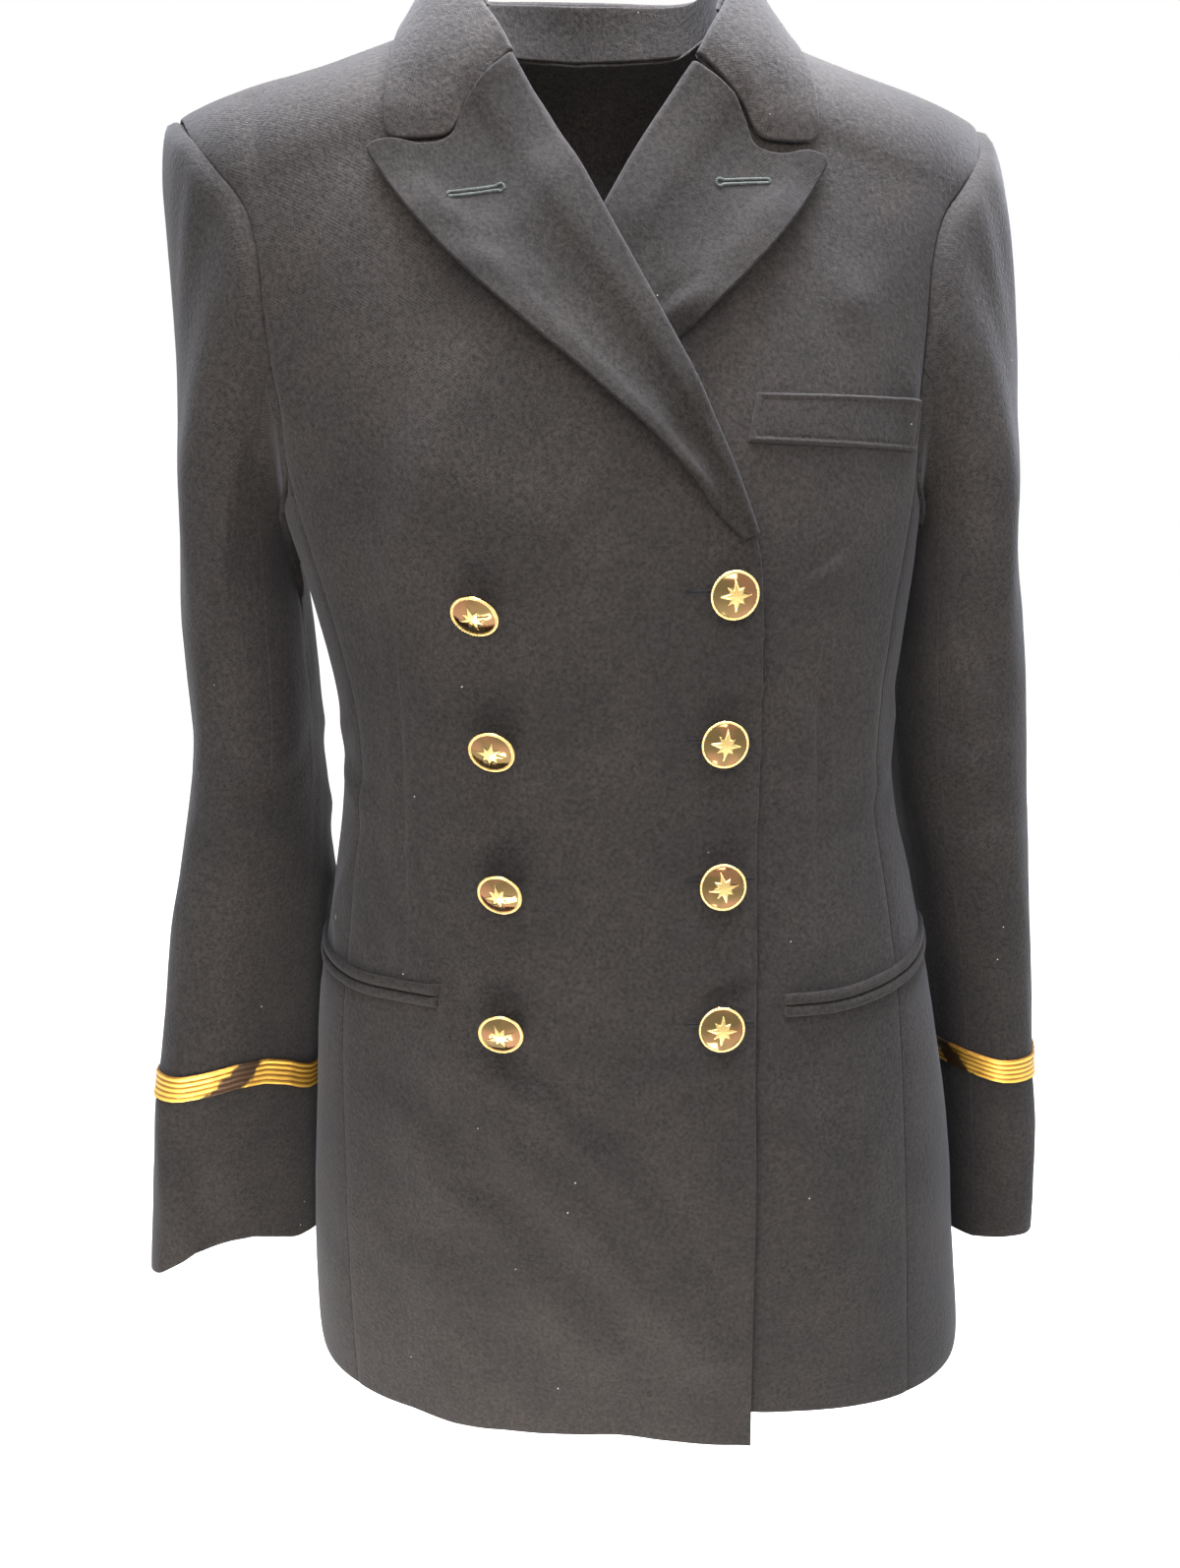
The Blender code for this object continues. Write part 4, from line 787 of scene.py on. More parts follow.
def back_panel(side):
    neck_columns, shoulder_columns = 3, 6
    left = side_seam(side, "back")
    left = np.concatenate([left, armhole(side, "back", PANEL_SHARES)[1:]])
    shoulder = place(side * np.linspace(SHOULDER_TIP, NECK_POINT, shoulder_columns + 1), 1e-6)
    neckline = along(NECKLINE_BACK[::-1], even(neck_columns + 1))
    neck = place(side * neckline[:, 0], neckline[:, 1] + 1e-6)
    high = np.concatenate([shoulder, neck[1:]])
    middle = side * math.pi
    high[-1, 0] = middle
    low = hem_row(left[0, 0], middle, len(high), side)
    cloth = low[-1, 1] + (high[-1, 1] - low[-1, 1]) * even(len(left))
    right = np.stack([np.full(len(left), middle), cloth], -1)
    grid = panel(low, high, left, right, side)
    grid[-1, :shoulder_columns + 1, 1] = SEAM / 2
    return grid


# ---- lapels and collar

def lapel(side):
    """Places of a lapel, from the break to the peak, and its lift above the body."""
    rows, columns = 14, 7
    across, up = even(columns), even(rows)[:, None]
    roll = along(ROLL_LINE[NAMES[side]], np.linspace(0.02, 1, rows)) * (-side, 1)
    edge = along(LAPEL_EDGE + LAPEL_TOP[:1], np.linspace(0.03, 1, rows)) * (-side, 1)
    top = along(LAPEL_TOP, np.linspace(1, 0, columns)) * (-side, 1)
    top[0], top[-1] = roll[-1], edge[-1]
    points = patch(roll[0] + (edge[0] - roll[0]) * across[:, None], top, roll, edge)
    if side > 0:
        points[..., 0] -= LEFT_LAPEL_TRIM * across
    places = front_place(points)
    swell = ROLL_SWELL * np.exp(-((across - ROLL_SWELL_AT) / ROLL_SWELL_WIDTH) ** 2)
    top = 1 - TOP_PRESS * smoothstep((up - 0.80) / 0.16)
    swell = swell + EDGE_SWELL * smoothstep((across - 0.45) / 0.55) * smoothstep(up / 0.2) * top
    if side < 0:
        return places, over_lift(places) + OVER_LAPEL_LIFT + swell * smoothstep(up / 0.15)
    x, z = plan_distance(places)
    roll_over = np.asarray(ROLL_LINE["right"])
    covered = np.interp(x, roll_over[::-1, 0], roll_over[::-1, 1])
    free = smoothstep((z - covered - 4) / 26)
    return places, LAPEL_LIFT + swell * free


def collar_curves():
    half = np.asarray(COLLAR)
    mirror = half[-2::-1] * (-1, 1, 1, -1, 1, 1, -1, 1, 1)
    return np.concatenate([half, mirror])


def collar_points(grid, lift):
    return body(place(grid[..., 0], grid[..., 1] + 1e-6), lift)


def collar_fall():
    rows, columns = 27, 6
    stations = even(rows)
    curves = along_rows(collar_curves(), stations)
    roll, edge = curves[:, 3:6], curves[:, 6:9]
    gorge = along(GORGE, even(columns))
    low = np.column_stack([gorge[:, 0], -cloth_at(gorge[:, 0], gorge[:, 1]),
                           np.full(columns, COLLAR[0][5])])
    across = even(columns)
    grid = between(roll[:, None], edge[:, None], across[:, None])
    nearness = smoothstep(1 - np.minimum(stations, 1 - stations) / GORGE_REACH)
    nearness = nearness[:, None, None]
    on_right = (stations < 0.5)[:, None, None]
    on_left = (stations > 0.5)[:, None, None]
    bend = low - grid[0]
    grid = grid + bend * (nearness * on_right) + bend * (-1, 1, 1) * (nearness * on_left)
    drawn = np.exp(-((stations[:, None] - LEFT_DRAW_AT) / LEFT_DRAW_WIDTH) ** 2)
    grid[..., 0] -= LEFT_FALL_DRAW * across * drawn
    stand = grid[:, :1, 2] - COLLAR[0][5]
    grid[..., 2] += stand * FALL_BOW * across * (1 - across)
    outer, above = (collar_points(grid, grid[..., 2] + more) for more in (0.0, 1.0))
    return outer, face_normals(outer, above - outer)


def along_rows(rows, shares):
    return spline(np.column_stack([even(len(rows)), rows]), shares)


def collar_stand():
    rows, columns = 29, 3
    curves = along_rows(collar_curves(), np.linspace(0.07, 0.93, rows))
    seam, roll = curves[:, None, 0:3], curves[:, None, 3:6]
    across = even(columns)[None, :, None]
    grid = between(seam, roll, across)
    outer = collar_points(grid, LAID_ON + grid[..., 2] * STAND_HEIGHT)
    normal = face_normals(outer, (outer - outer.mean(axis=(0, 1))) * (1, 1, 0))
    outer = outer - normal * (COLLAR_CLOTH + LAID_ON) * across
    return outer, outer - normal * CLOTH


def face_normals(grid, towards):
    """Unit normals of an open grid, on the side that towards points to."""
    normal = unit(np.cross(np.gradient(grid, axis=0), np.gradient(grid, axis=1)))
    return normal * np.sign(np.sum(normal * towards))


# ---- sleeves

def sleeve_section(table, z, angle):
    """Ring of a sleeve: angle 0 in front, 90 outside, for a sleeve of the given table."""
    centre_x, centre_y, depth, width, turn = spline(table[::-1], z)
    side = np.sign(table[0][1])
    turn = np.radians(turn)
    out, ahead = oval(angle, width, depth, SLEEVE_ROUNDNESS)
    x = centre_x + side * (out * np.cos(turn) + ahead * np.sin(turn))
    y = centre_y - ahead * np.cos(turn) + out * np.sin(turn)
    return np.stack([x, y, np.broadcast_to(z, x.shape)], -1)


def sleeve_angles():
    """Section angles of the sleeve columns, from the shoulder tip forward and round."""
    return np.radians(np.concatenate([90 - 180 * SHARES, 90 + 180 * SHARES[-2::-1] - 360]))


def cuff_line(side, angles):
    """Heights of the cuff's edge and of the top of the lace at angles on a sleeve."""
    table = np.array(CUFF_RIGHT if side < 0 else CUFF_LEFT, float)
    turned = (np.degrees(angles) + 180) % 360 - 180
    return np.stack([np.interp(turned, table[:, 0], table[:, 1]),
                     np.interp(turned, table[:, 0], table[:, 2])], -1)


def sleeve_grid(side):
    """Outer points of a whole sleeve: rows down from the armhole, columns round it."""
    table = SLEEVE_RIGHT if side < 0 else SLEEVE_LEFT
    angles = sleeve_angles()
    start = np.concatenate([body(armhole(side, "front", SHARES)),
                            body(armhole(side, "back", SHARES[-2::-1]))])
    lateral = np.array((side, 0.0, 0.0))
    top_z = table[0][0]
    ring_top = sleeve_section(table, top_z, angles)
    outer = ((np.sin(angles) + 1) / 2)[:, None]
    spread = unit((start - start.mean(axis=0)) * (0, 1, 1))
    pull_out = lateral * (5 + CAP_SWELL * outer) + spread * (5 + 3 * outer)
    drop = (start[:, 2] - ring_top[:, 2])[:, None]
    pull_up = np.array((0, 0, 1.0)) * (drop * (0.30 + 0.32 * outer))
    first = start + (lateral * (SEAM + 0.3) + spread * 0.2)
    grid = []
    for share in even(CAP_STEPS + 1):
        rest = 1 - share
        grid.append(rest ** 3 * first + 3 * share * rest ** 2 * (first + pull_out)
                    + 3 * share ** 2 * rest * (ring_top + pull_up) + share ** 3 * ring_top)
    for z in np.linspace(top_z, table[-1][0], SLEEVE_ROWS + 1)[1:]:
        row = sleeve_section(table, z, angles)
        tilt = cuff_line(side, angles)[:, 0] - table[-1][0]
        row[:, 2] += tilt * smoothstep((CUFF_TILT_STARTS - z) / (CUFF_TILT_STARTS - table[-1][0]))
        grid.append(row)
    return np.array(grid)


# ---- fine grids

def read_rows(grid, shares):
    """Read each row of a grid smoothly at that row's own shares, 0 to 1."""
    last = grid.shape[1] - 1
    slopes = np.diff(grid, axis=1)
    middle = (slopes[:, :-1] + slopes[:, 1:]) / 2
    tangents = np.concatenate([slopes[:, :1], middle, slopes[:, -1:]], axis=1)
    where = np.clip(shares, 0, 1) * last
    index = np.clip(where.astype(int), 0, last - 1)
    t = (where - index)[..., None]
    row = np.arange(len(grid))[:, None]
    low, high = grid[row, index], grid[row, index + 1]
    return (low * (1 + 2 * t) * (1 - t) ** 2 + high * t ** 2 * (3 - 2 * t)
            + tangents[row, index] * t * (1 - t) ** 2
            - tangents[row, index + 1] * t ** 2 * (1 - t))


def even_shares(points, count, start, end):
    """Shares along each row of points: even, and closer together beside its two ends."""
    lengths = np.pad(np.cumsum(steps_along(points, 1), axis=1), ((0, 0), (1, 0)))
    knots = even(points.shape[1])
    shares = []
    for row in lengths:
        total = row[-1]
        near = np.array(RIM_STEPS) * min(1.0, total / (5 * RIM_STEPS[-1]))
        low = near + min(start, 0.35 * total)
        high = total - near[::-1] - min(end, 0.35 * total)
        places = np.concatenate([low, np.linspace(low[-1], high[0], count)[1:-1], high])
        shares.append(np.interp(places, row, knots))
    return np.array(shares)


def fine_grid(grid, rows, columns, trims=(0, 0, 0, 0), points_of=np.asarray):
    """Refine a coarse grid. trims are left off its low, high, first and last edges, in mm."""
    low, high, first, last = trims
    tall = np.swapaxes(grid, 0, 1)
    shares = even_shares(points_of(tall), rows, low, high)
    grid = np.swapaxes(read_rows(tall, shares), 0, 1)
    return read_rows(grid, even_shares(points_of(grid), columns, first, last))


def body_normal(places):
    return body(places, 1.0) - body(places, 0.0)


def rim_distance(points, edges):
    """Distance over the cloth from each point to the nearest of the named cut edges."""
    from_first = np.pad(np.cumsum(steps_along(points, 1), axis=1), ((0, 0), (1, 0)))
    from_low = np.pad(np.cumsum(steps_along(points, 0), axis=0), ((1, 0), (0, 0)))
    found = {"first": from_first, "last": from_first[:, -1:] - from_first,
             "low": from_low, "high": from_low[-1:] - from_low}
    return np.min([found[edge] for edge in edges], axis=0)


def round_corner(points, radius, row_edge, column_edge):
    """Round a corner of a piece in its own plane: square places near it move onto a circle."""
    high, last = row_edge == "high", column_edge == "last"
    up = np.gradient(points, axis=0) * (1 if high else -1)
    out = np.gradient(points, axis=1) * (1 if last else -1)
    up, out = unit(up), unit(out)
    rise = np.clip(radius - rim_distance(points, (row_edge,)), 0, None)
    reach = np.clip(radius - rim_distance(points, (column_edge,)), 0, None)
    whole = np.maximum(np.hypot(rise, reach), 1e-9)
    pull = 1 - np.maximum(rise, reach) / whole
    return points - (up * (rise * pull)[..., None] + out * (reach * pull)[..., None])


def soft_noise(points, size, seed):
    """Smooth lumps of about the given size, between -1 and 1."""
    lattice = np.random.default_rng(seed).uniform(-1, 1, (NOISE_CELLS,) * 3)
    scaled = points / size
    cell = np.floor(scaled).astype(int)
    blend = smoothstep(scaled - cell)
    total = np.zeros(points.shape[:-1])
    for corner in itertools.product((0, 1), repeat=3):
        weight = np.prod(np.where(corner, blend, 1 - blend), axis=-1)
        index = (cell + corner) % NOISE_CELLS
        total += weight * lattice[index[..., 0], index[..., 1], index[..., 2]]
    return total


def unevenness(points, seed):
    """How far worn cloth stands off its even form."""
    return sum(depth * soft_noise(points, size, seed + number)
               for number, (size, depth) in enumerate(UNEVENNESS))


# ---- creases

def profile(kind, away):
    """Height of a crease at a signed distance from its line, both as shares."""
    ridge = np.exp(-away ** 2)
    if kind == "ridge":
        return ridge
    if kind == "trough":
        return -ridge
    if kind == "drag":
        return ridge - 0.6 * np.exp(-((away - 1.7) / 1.1) ** 2)
    if kind == "seam":
        return 0.35 * np.exp(-((np.abs(away) - 3.4) / 1.8) ** 2) - ridge
    raise ValueError(kind)


def crease(points, normal, kind, depths, widths, line):
    """Height of one crease, whose course in space is line, at each point."""
    total = np.zeros(len(points))
    reach = CREASE_REACH * max(widths)
    low, high = line.min(axis=0) - reach, line.max(axis=0) + reach
    near = np.nonzero(np.all((points > low) & (points < high), axis=1))[0]
    if not len(near):
        return total
    spans = np.diff(line, axis=0)
    away = points[near, None] - line[:-1]
    share = np.clip((away * spans).sum(-1) / (spans ** 2).sum(-1), 0, 1)
    away -= share[..., None] * spans
    distance = np.linalg.norm(away, axis=-1)
    pick = distance.argmin(axis=1)
    row = np.arange(len(near))
    position = (pick + share[row, pick]) / len(spans)
    side = np.sum(np.cross(spans[pick], away[row, pick]) * normal[near], axis=-1)
    width = np.interp(position, (0, 1), widths)
    signed = distance[row, pick] * np.where(side < 0, -1, 1) / width
    total[near] = np.interp(position, (0, 0.5, 1), depths) * profile(kind, signed)
    return total


# ---- meshes

def grid_quads(rows, columns, closed):
    """Point numbers of a grid and its faces; closed joins the last column to the first."""
    index = np.arange(rows * columns).reshape(rows, columns)
    if closed:
        index = np.concatenate([index, index[:, :1]], axis=1)
    corners = (index[:-1, :-1], index[:-1, 1:], index[1:, 1:], index[1:, :-1])
    return index, np.stack(corners, -1).reshape(-1, 4)


def signed_volume(points, quads):
    a, b, c, d = (points[quads[:, corner]] for corner in range(4))
    return np.sum(a * (np.cross(b, c) + np.cross(c, d))) / 6


def add_mesh(name, points, quads, material, weave=None, relief=None):
    mesh = bpy.data.meshes.new(name)
    mesh.vertices.add(len(points))
    mesh.vertices.foreach_set("co", (points * MM).astype(np.float32).ravel())
    mesh.loops.add(quads.size)
    mesh.loops.foreach_set("vertex_index", quads.astype(np.int32).ravel())
    mesh.polygons.add(len(quads))
    mesh.polygons.foreach_set("loop_start", np.arange(0, quads.size, 4, dtype=np.int32))
    mesh.update(calc_edges=True)
    mesh.validate()
    mesh.shade_smooth()
    if weave is not None:
        layer = mesh.uv_layers.new(name="weave")
        layer.uv.foreach_set("vector", (weave[quads.ravel()] * MM).astype(np.float32).ravel())
    if relief is not None:
        layer = mesh.attributes.new("relief", "FLOAT", "POINT")
        layer.data.foreach_set("value", relief.astype(np.float32).ravel())
    mesh.materials.append(material)
    item = bpy.data.objects.new(name, mesh)
    bpy.context.collection.objects.link(item)
    return item


def shell(name, outer, inner, material, weave, closed=False):
    """A thin shell between two grids, with walls at their borders."""
    rows, columns = outer.shape[:2]
    index, quads = grid_quads(rows, columns, closed)
    offset = rows * columns
    if closed:
        borders = [index[0], index[-1, ::-1]]
    else:
        borders = [np.concatenate([index[0], index[1:, -1], index[-1, -2::-1], index[-2::-1, 0]])]
    sides = [np.stack([b[1:], b[:-1], b[:-1] + offset, b[1:] + offset], -1) for b in borders]
    quads = np.concatenate([quads, quads[:, ::-1] + offset] + sides)
    points = np.concatenate([outer.reshape(-1, 3), inner.reshape(-1, 3)])
    if signed_volume(points, quads) < 0:
        quads = quads[:, ::-1]
    weave = np.concatenate([weave.reshape(-1, 2)] * 2)
    return add_mesh(name, points, quads, material, weave)


def rounded(outer, normal, cloth, distance):
    """Outer and inner faces of cloth whose cut edges are rounded over."""
    share = 1 - np.clip(distance / RIM_RADIUS, 0, 1)
    drop = (0.49 * cloth * (1 - np.sqrt(1 - share ** 2)))[..., None]
    return outer - normal * drop, outer - normal * (cloth - drop)


def cloth_piece(name, outer, inner, weave, held, rests_on, material=None):
    """Add a cloth shell in place of the CAD node of that name, and note how it was cut."""
    item = shell(name + "_cloth", outer, inner, material or WOOL, weave)
    across = steps_along(outer, 1).sum(axis=1).max()
    up = steps_along(outer, 0).sum(axis=0).max()
    ahead = np.diff(outer, axis=1)[:-1]
    above = np.diff(outer, axis=0)[:, :-1]
    area = np.linalg.norm(np.cross(ahead, above), axis=-1).sum()
    belong(item, "navy_wool", name)
    if held:
        CUTS.append((name, item, across * MM, up * MM, area * MM ** 2, held, rests_on))
    return item


def belong(item, slot, *nodes):
    """Fix a piece to the jacket and hide the CAD nodes it stands for. slot, its colour slot, is
    not used.
    """
    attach(item, "root")
    if nodes:
        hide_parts(*nodes)
    return item


# ---- body pieces

def body_lines():
    """Every crease of the body as (side, kind, depths, widths, its course in space)."""
    lines = []
    shares = even(CREASE_STEPS)
    for *row, points in FRONT_CREASES:
        places = front_place(along(points, shares))
        lines.append((*row, body(places, front_lift(places, row[0]))))
    for *row, points in ROUND_CREASES:
        lines.append((0, *row, body(angle_place(*along(points, shares).T))))
    return lines


def crease_height(points, normal, lines, side):
    """Height of all creases of one side, and of those that belong to no side."""
    flat, flat_normal = points.reshape(-1, 3), normal.reshape(-1, 3)
    total = np.zeros(len(flat))
    for line_side, kind, depths, widths, line in lines:
        if line_side in (0, side):
            total += CREASE_DEPTH * crease(flat, flat_normal, kind, depths, widths, line)
    return total.reshape(points.shape[:-1])


def seam_pull(points, edges):
    """The cloth dips a little beside a pressed seam."""
    away = rim_distance(points, edges)
    return -SEAM_DIP * np.exp(-(away / SEAM_DIP_WIDTH) ** 2)


def body_piece(part, side, grid, seams, lines):
    name = part + "_" + NAMES[side]
    fine = fine_grid(grid, *COUNTS[part], points_of=body)
    lift = front_lift(fine, side) if part == "front" else 0.0
    base, normal = body(fine, lift), body_normal(fine)
    height = crease_height(base, normal, lines, side)
    height += unevenness(base, SEEDS["body"]) + seam_pull(base, seams)
    moved = base + normal * height[..., None]
    outer, inner = rounded(moved, normal, CLOTH, rim_distance(base, EDGES))
    SURFACES[name] = (moved, normal)
    weave = np.stack([fine[..., 0] * SEAM_RADIUS, -fine[..., 1]], -1)
    return cloth_piece(name, outer, inner, weave, "hung", [])


def fold_back(outer, normal, floor, cloth, tail):
    """Turn the first edge of a piece back under itself, down to the height floor below it.

    Returns the extra columns of the outer and the inner face, which come before the others."""
    start, ahead = outer[:, :1], outer[:, :1] - outer[:, 3:4]
    up = normal[:, :1]
    ahead = unit(ahead - up * np.sum(ahead * up, axis=-1, keepdims=True))
    radius = (floor / 2)[:, None, None]
    centre = start - up * radius
    turn = np.linspace(-math.pi / 2, math.pi / 2, FOLD_STEPS + 1)[:-1][None, :, None]
    way = np.cos(turn) * ahead + np.sin(turn) * up
    fold_out, fold_in = centre + way * radius, centre + way * (radius - cloth)
    if tail:
        back = np.linspace(tail, 0, 4)[:-1][None, :, None] * ahead
        fold_out = np.concatenate([fold_out[:, :1] - back, fold_out], axis=1)
        fold_in = np.concatenate([fold_in[:, :1] - back, fold_in], axis=1)
    return fold_out, fold_in


def folded(base, normal, seed, corners, cloth, thick, fold_cloth, tail=0):
    """A piece that is folded at its first edge and cut at the others.

    Gives its uneven points before the fold, then its outer and its inner face."""
    free = smoothstep(rim_distance(base, ("first",)) / FOLD_CALM)
    moved = base + normal * (free * unevenness(base, seed))[..., None]
    for row_edge in corners:
        moved = round_corner(moved, TIP_RADIUS, row_edge, "last")
    outer, inner = rounded(moved, normal, cloth, rim_distance(base, ("low", "high", "last")))
    fold_out, fold_in = fold_back(outer, normal, thick, fold_cloth, tail)
    outer, inner = np.concatenate([fold_out, outer], 1), np.concatenate([fold_in, inner], 1)
    return moved, outer, inner


def lapel_piece(side):
    name = "lapel_" + NAMES[side]
    places, lift = lapel(side)
    fine = fine_grid(np.concatenate([places, lift[..., None]], -1), *COUNTS["lapel"],
                     (0, 0, FOLD_TRIM, 0), lambda grid: body(grid[..., :2], grid[..., 2]))
    places, lift = fine[..., :2], fine[..., 2]
    normal = body_normal(places)
    ground = over_lift(places[:, 0]) if side < 0 else 0.0
    thick = lift[:, 0] - ground + CLOTH
    moved, outer, inner = folded(body(places, lift), normal, SEEDS["lapel"], ("high",),
                                 LAPEL_CLOTH, thick, LAPEL_CLOTH)
    SURFACES[name] = (moved, normal)
    extra = outer.shape[1] - places.shape[1]
    places = np.concatenate([np.repeat(places[:, :1], extra, axis=1), places], 1)
    weave = np.stack([places[..., 0] * SEAM_RADIUS, places[..., 1]], -1)
    weave[:, :extra, 0] -= np.linspace(8, 0, extra)
    return cloth_piece(name, outer, inner, weave, "folded", ["front_" + NAMES[side]], SHADED_LAPEL_WOOL)


def own_weave(points):
    """Warp and weft lengths measured over a piece itself."""
    across = np.pad(np.cumsum(steps_along(points, 1), axis=1), ((0, 0), (1, 0)))
    up = np.pad(np.cumsum(steps_along(points, 0).mean(axis=1)), (1, 0))[:, None]
    return np.stack(np.broadcast_arrays(across, up), -1)


def collar_pieces():
    outer, coarse_normal = collar_fall()
    fine = fine_grid(outer, *COUNTS["collar_fall"], (0, 0, FOLD_TRIM, 0))
    normal = face_normals(fine, coarse_normal[len(outer) // 2, 0])
    thick = np.full(len(fine), COLLAR_CLOTH + LAID_ON + CLOTH)
    _, outer, inner = folded(fine, normal, SEEDS["collar"], ("low", "high"), COLLAR_CLOTH,
                             thick, COLLAR_CLOTH * 0.75, COLLAR_TAIL)
    cloth_piece("collar_fall", outer, inner, own_weave(outer)[..., ::-1],
                "folded", ["collar_stand"])
    outer, inner = collar_stand()
    down = STAND_TUCK * unit(outer[:, 0] - outer[:, 1])
    outer[:, 0] += down
    inner[:, 0] += down
    fine, fine_inner = (fine_grid(face, *COUNTS["collar_stand"]) for face in (outer, inner))
    normal = unit(fine - fine_inner)
    outer, inner = rounded(fine, normal, CLOTH, rim_distance(fine, EDGES))
    cloth_piece("collar_stand", outer, inner, own_weave(outer)[..., ::-1],
                "hung", ["back_right", "back_left"])


# ---- sleeve pieces

def sleeve_lines(side, grid):
    """The creases of a sleeve, their (angle, height) places turned into points in space."""
    angles = np.degrees(sleeve_angles())
    order = np.argsort(angles)
    lines = []
    for row_side, *row, points in SLEEVE_CREASES:
        if row_side != side:
            continue
        course = []
        for degrees, height in along(points, even(CREASE_STEPS)):
            column = np.interp(degrees, angles[order], order, period=360)
            below = int(column)
            line = between(grid[:, below], grid[:, (below + 1) % len(angles)], column - below)
            row_share = np.interp(-height, -line[:, 2], even(len(line)))
            course.append(along_rows(line, row_share))
        lines.append((0, *row, np.array(course)))
    return lines


def armhole_tuck(side, edge):
    """The seam allowance of a sleeve head, turned in under the body beside the armhole.

    Two rows of outer and two of inner points, which come before the sleeve's own."""
    name = NAMES[side]
    tree, cloth, normals = tree_of(["front_" + name, "side_" + name, "back_" + name])
    near = [tree.find(point)[1] for point in edge]
    seat, normal = cloth[near], normals[near]
    low = smoothstep((edge[:, 2].max() - edge[:, 2] - 60) / 120)[:, None]
    inward = np.array((-side, 0.0, 0.0)) * (1.05 - low) + np.array((0.0, 0.0, -1.0)) * low
    inward = unit(inward - normal * np.sum(inward * normal, axis=1, keepdims=True))
    turned_in = seat - normal * (CLOTH + LAID_ON)
    outer = np.stack([turned_in + inward * TUCK, turned_in])
    return outer, outer - normal * TUCK_CLOTH


def sleeve(side):
    name = NAMES[side]
    grid = sleeve_grid(side)
    lines = sleeve_lines(side, grid)
    last = grid.shape[1] - 1
    upper = [*range(last - SEAM_STEP, last), *range(SEAM_STEP + 1)]
    under = list(range(SEAM_STEP, last - SEAM_STEP + 1))
    for part, columns in (("sleeve_upper", upper), ("sleeve_under", under)):
        fine = fine_grid(grid[:, columns], *COUNTS[part])
        normal = face_normals(fine, fine - grid.mean(axis=1)[len(grid) // 2])
        height = crease_height(fine, normal, lines, 0) + unevenness(fine, SEEDS["sleeve"])
        height *= smoothstep(rim_distance(fine, ("low",)) / HEAD_CALM)
        height += seam_pull(fine, ("low", "first", "last"))
        moved = fine + normal * height[..., None]
        outer, inner = rounded(moved, normal, CLOTH, rim_distance(fine, EDGES))
        piece = part + "_" + name
        SURFACES[piece] = (moved, normal)
        tuck_out, tuck_in = armhole_tuck(side, moved[0])
        outer, inner = np.concatenate([tuck_out, outer]), np.concatenate([tuck_in, inner])
        cloth_piece(piece, outer, inner, own_weave(outer), "hung",
                    ["front_" + name, "back_" + name])
    return grid


# ---- what lies on the cloth

def tree_of(names):
    points, normals = (np.concatenate([SURFACES[name][part].reshape(-1, 3) for name in names])
                       for part in (0, 1))
    tree = KDTree(len(points))
    for index, point in enumerate(points):
        tree.insert(point, index)
    tree.balance()
    return tree, points, normals


def settle(points, names):
    """Move points onto the finished cloth of the named pieces, and give its normals there."""
    tree, cloth, normals = tree_of(names)
    flat = points.reshape(-1, 3)
    found = [[index for _, index, _ in tree.find_n(point, 4)] for point in flat]
    base, normal = cloth[found].mean(axis=1), unit(normals[found].mean(axis=1))
    settled = flat + normal * np.sum((base - flat) * normal, axis=-1, keepdims=True)
    return settled.reshape(points.shape), normal.reshape(points.shape)


def rounded_edge(share, radius):
    """Height share of a rounded pad at a distance share from its edge, 0 at the edge."""
    away = 1 - np.clip(share / radius, 0, 1)
    return np.sqrt(np.clip(1 - away ** 2, 0, 1))


def laid_piece(name, base, normal, height, held, rests_on):
    """A flat piece that lies on cloth at base and stands off it by height."""
    outer = base + normal * (LAID_ON / 2 + height)[..., None]
    return cloth_piece(name, outer, base + normal * (LAID_ON / 2), own_weave(base), held, rests_on)


def hip_pocket(side):
    """The two jets of a pocket, which go with the front that they are sewn to."""
    name, jets = NAMES[side], []
    line = along(POCKET_LINE[name], even(110))
    across = np.linspace(-0.5, 0.5, 17)[:, None]
    for label, shift in (("upper", JET_PITCH / 2), ("lower", -JET_PITCH / 2)):
        heights = line[:, 1] + shift + across * (JET_WIDTH + JET_EXTRA)
        places = angle_place(np.broadcast_to(line[:, 0] * side, heights.shape), heights)
        base, normal = settle(body(places), ["front_" + name, "side_" + name])
        ends = rim_distance(base, ("first", "last"))
        pad = rounded_edge(0.5 - np.abs(across), 0.5) * rounded_edge(ends, JET_END)
        height = JET_CLOTH * 0.3 + (JET_CLOTH * 0.7 + JET_SWELL) * pad
        jets.append(laid_piece("hip_jet_%s_%s" % (label, name), base, normal, height, "", ()))
    return jets


def breast_welt():
    """The welt of the breast pocket, with a pricked stitching inside its edges."""
    corners = np.asarray(WELT_CORNERS, float)
    across, up = even(140)[:, None], even(40)[:, None, None]
    points = between(between(corners[0], corners[1], across),
                     between(corners[3], corners[2], across), up)
    base, normal = settle(body(front_place(points)), ["front_left"])
    away = rim_distance(base, EDGES)
    ridge = np.exp(-((away - WELT_RIDGE_IN) / WELT_RIDGE_HALF) ** 2)
    stitched = np.exp(-((away - WELT_STITCH_IN) / WELT_STITCH_HALF) ** 2)
    height = (WELT_CLOTH * rounded_edge(away, 1.0) + WELT_RIDGE * ridge
              - WELT_STITCH_DEPTH * stitched * stitch_rhythm(base))
    height += 0.5 * unevenness(base, SEEDS["welt"])
    laid_piece("breast_welt", base, normal, height, "laid", ["front_left"])


def stitch_rhythm(points):
    """Between 0 and 1, highest at each stitch of an edge stitching."""
    across = own_weave(points)
    turn = 2 * math.pi * (across[..., 0] + across[..., 1]) / WELT_STITCH
    return 0.35 + 0.65 * smoothstep(0.5 + 0.9 * np.cos(turn))


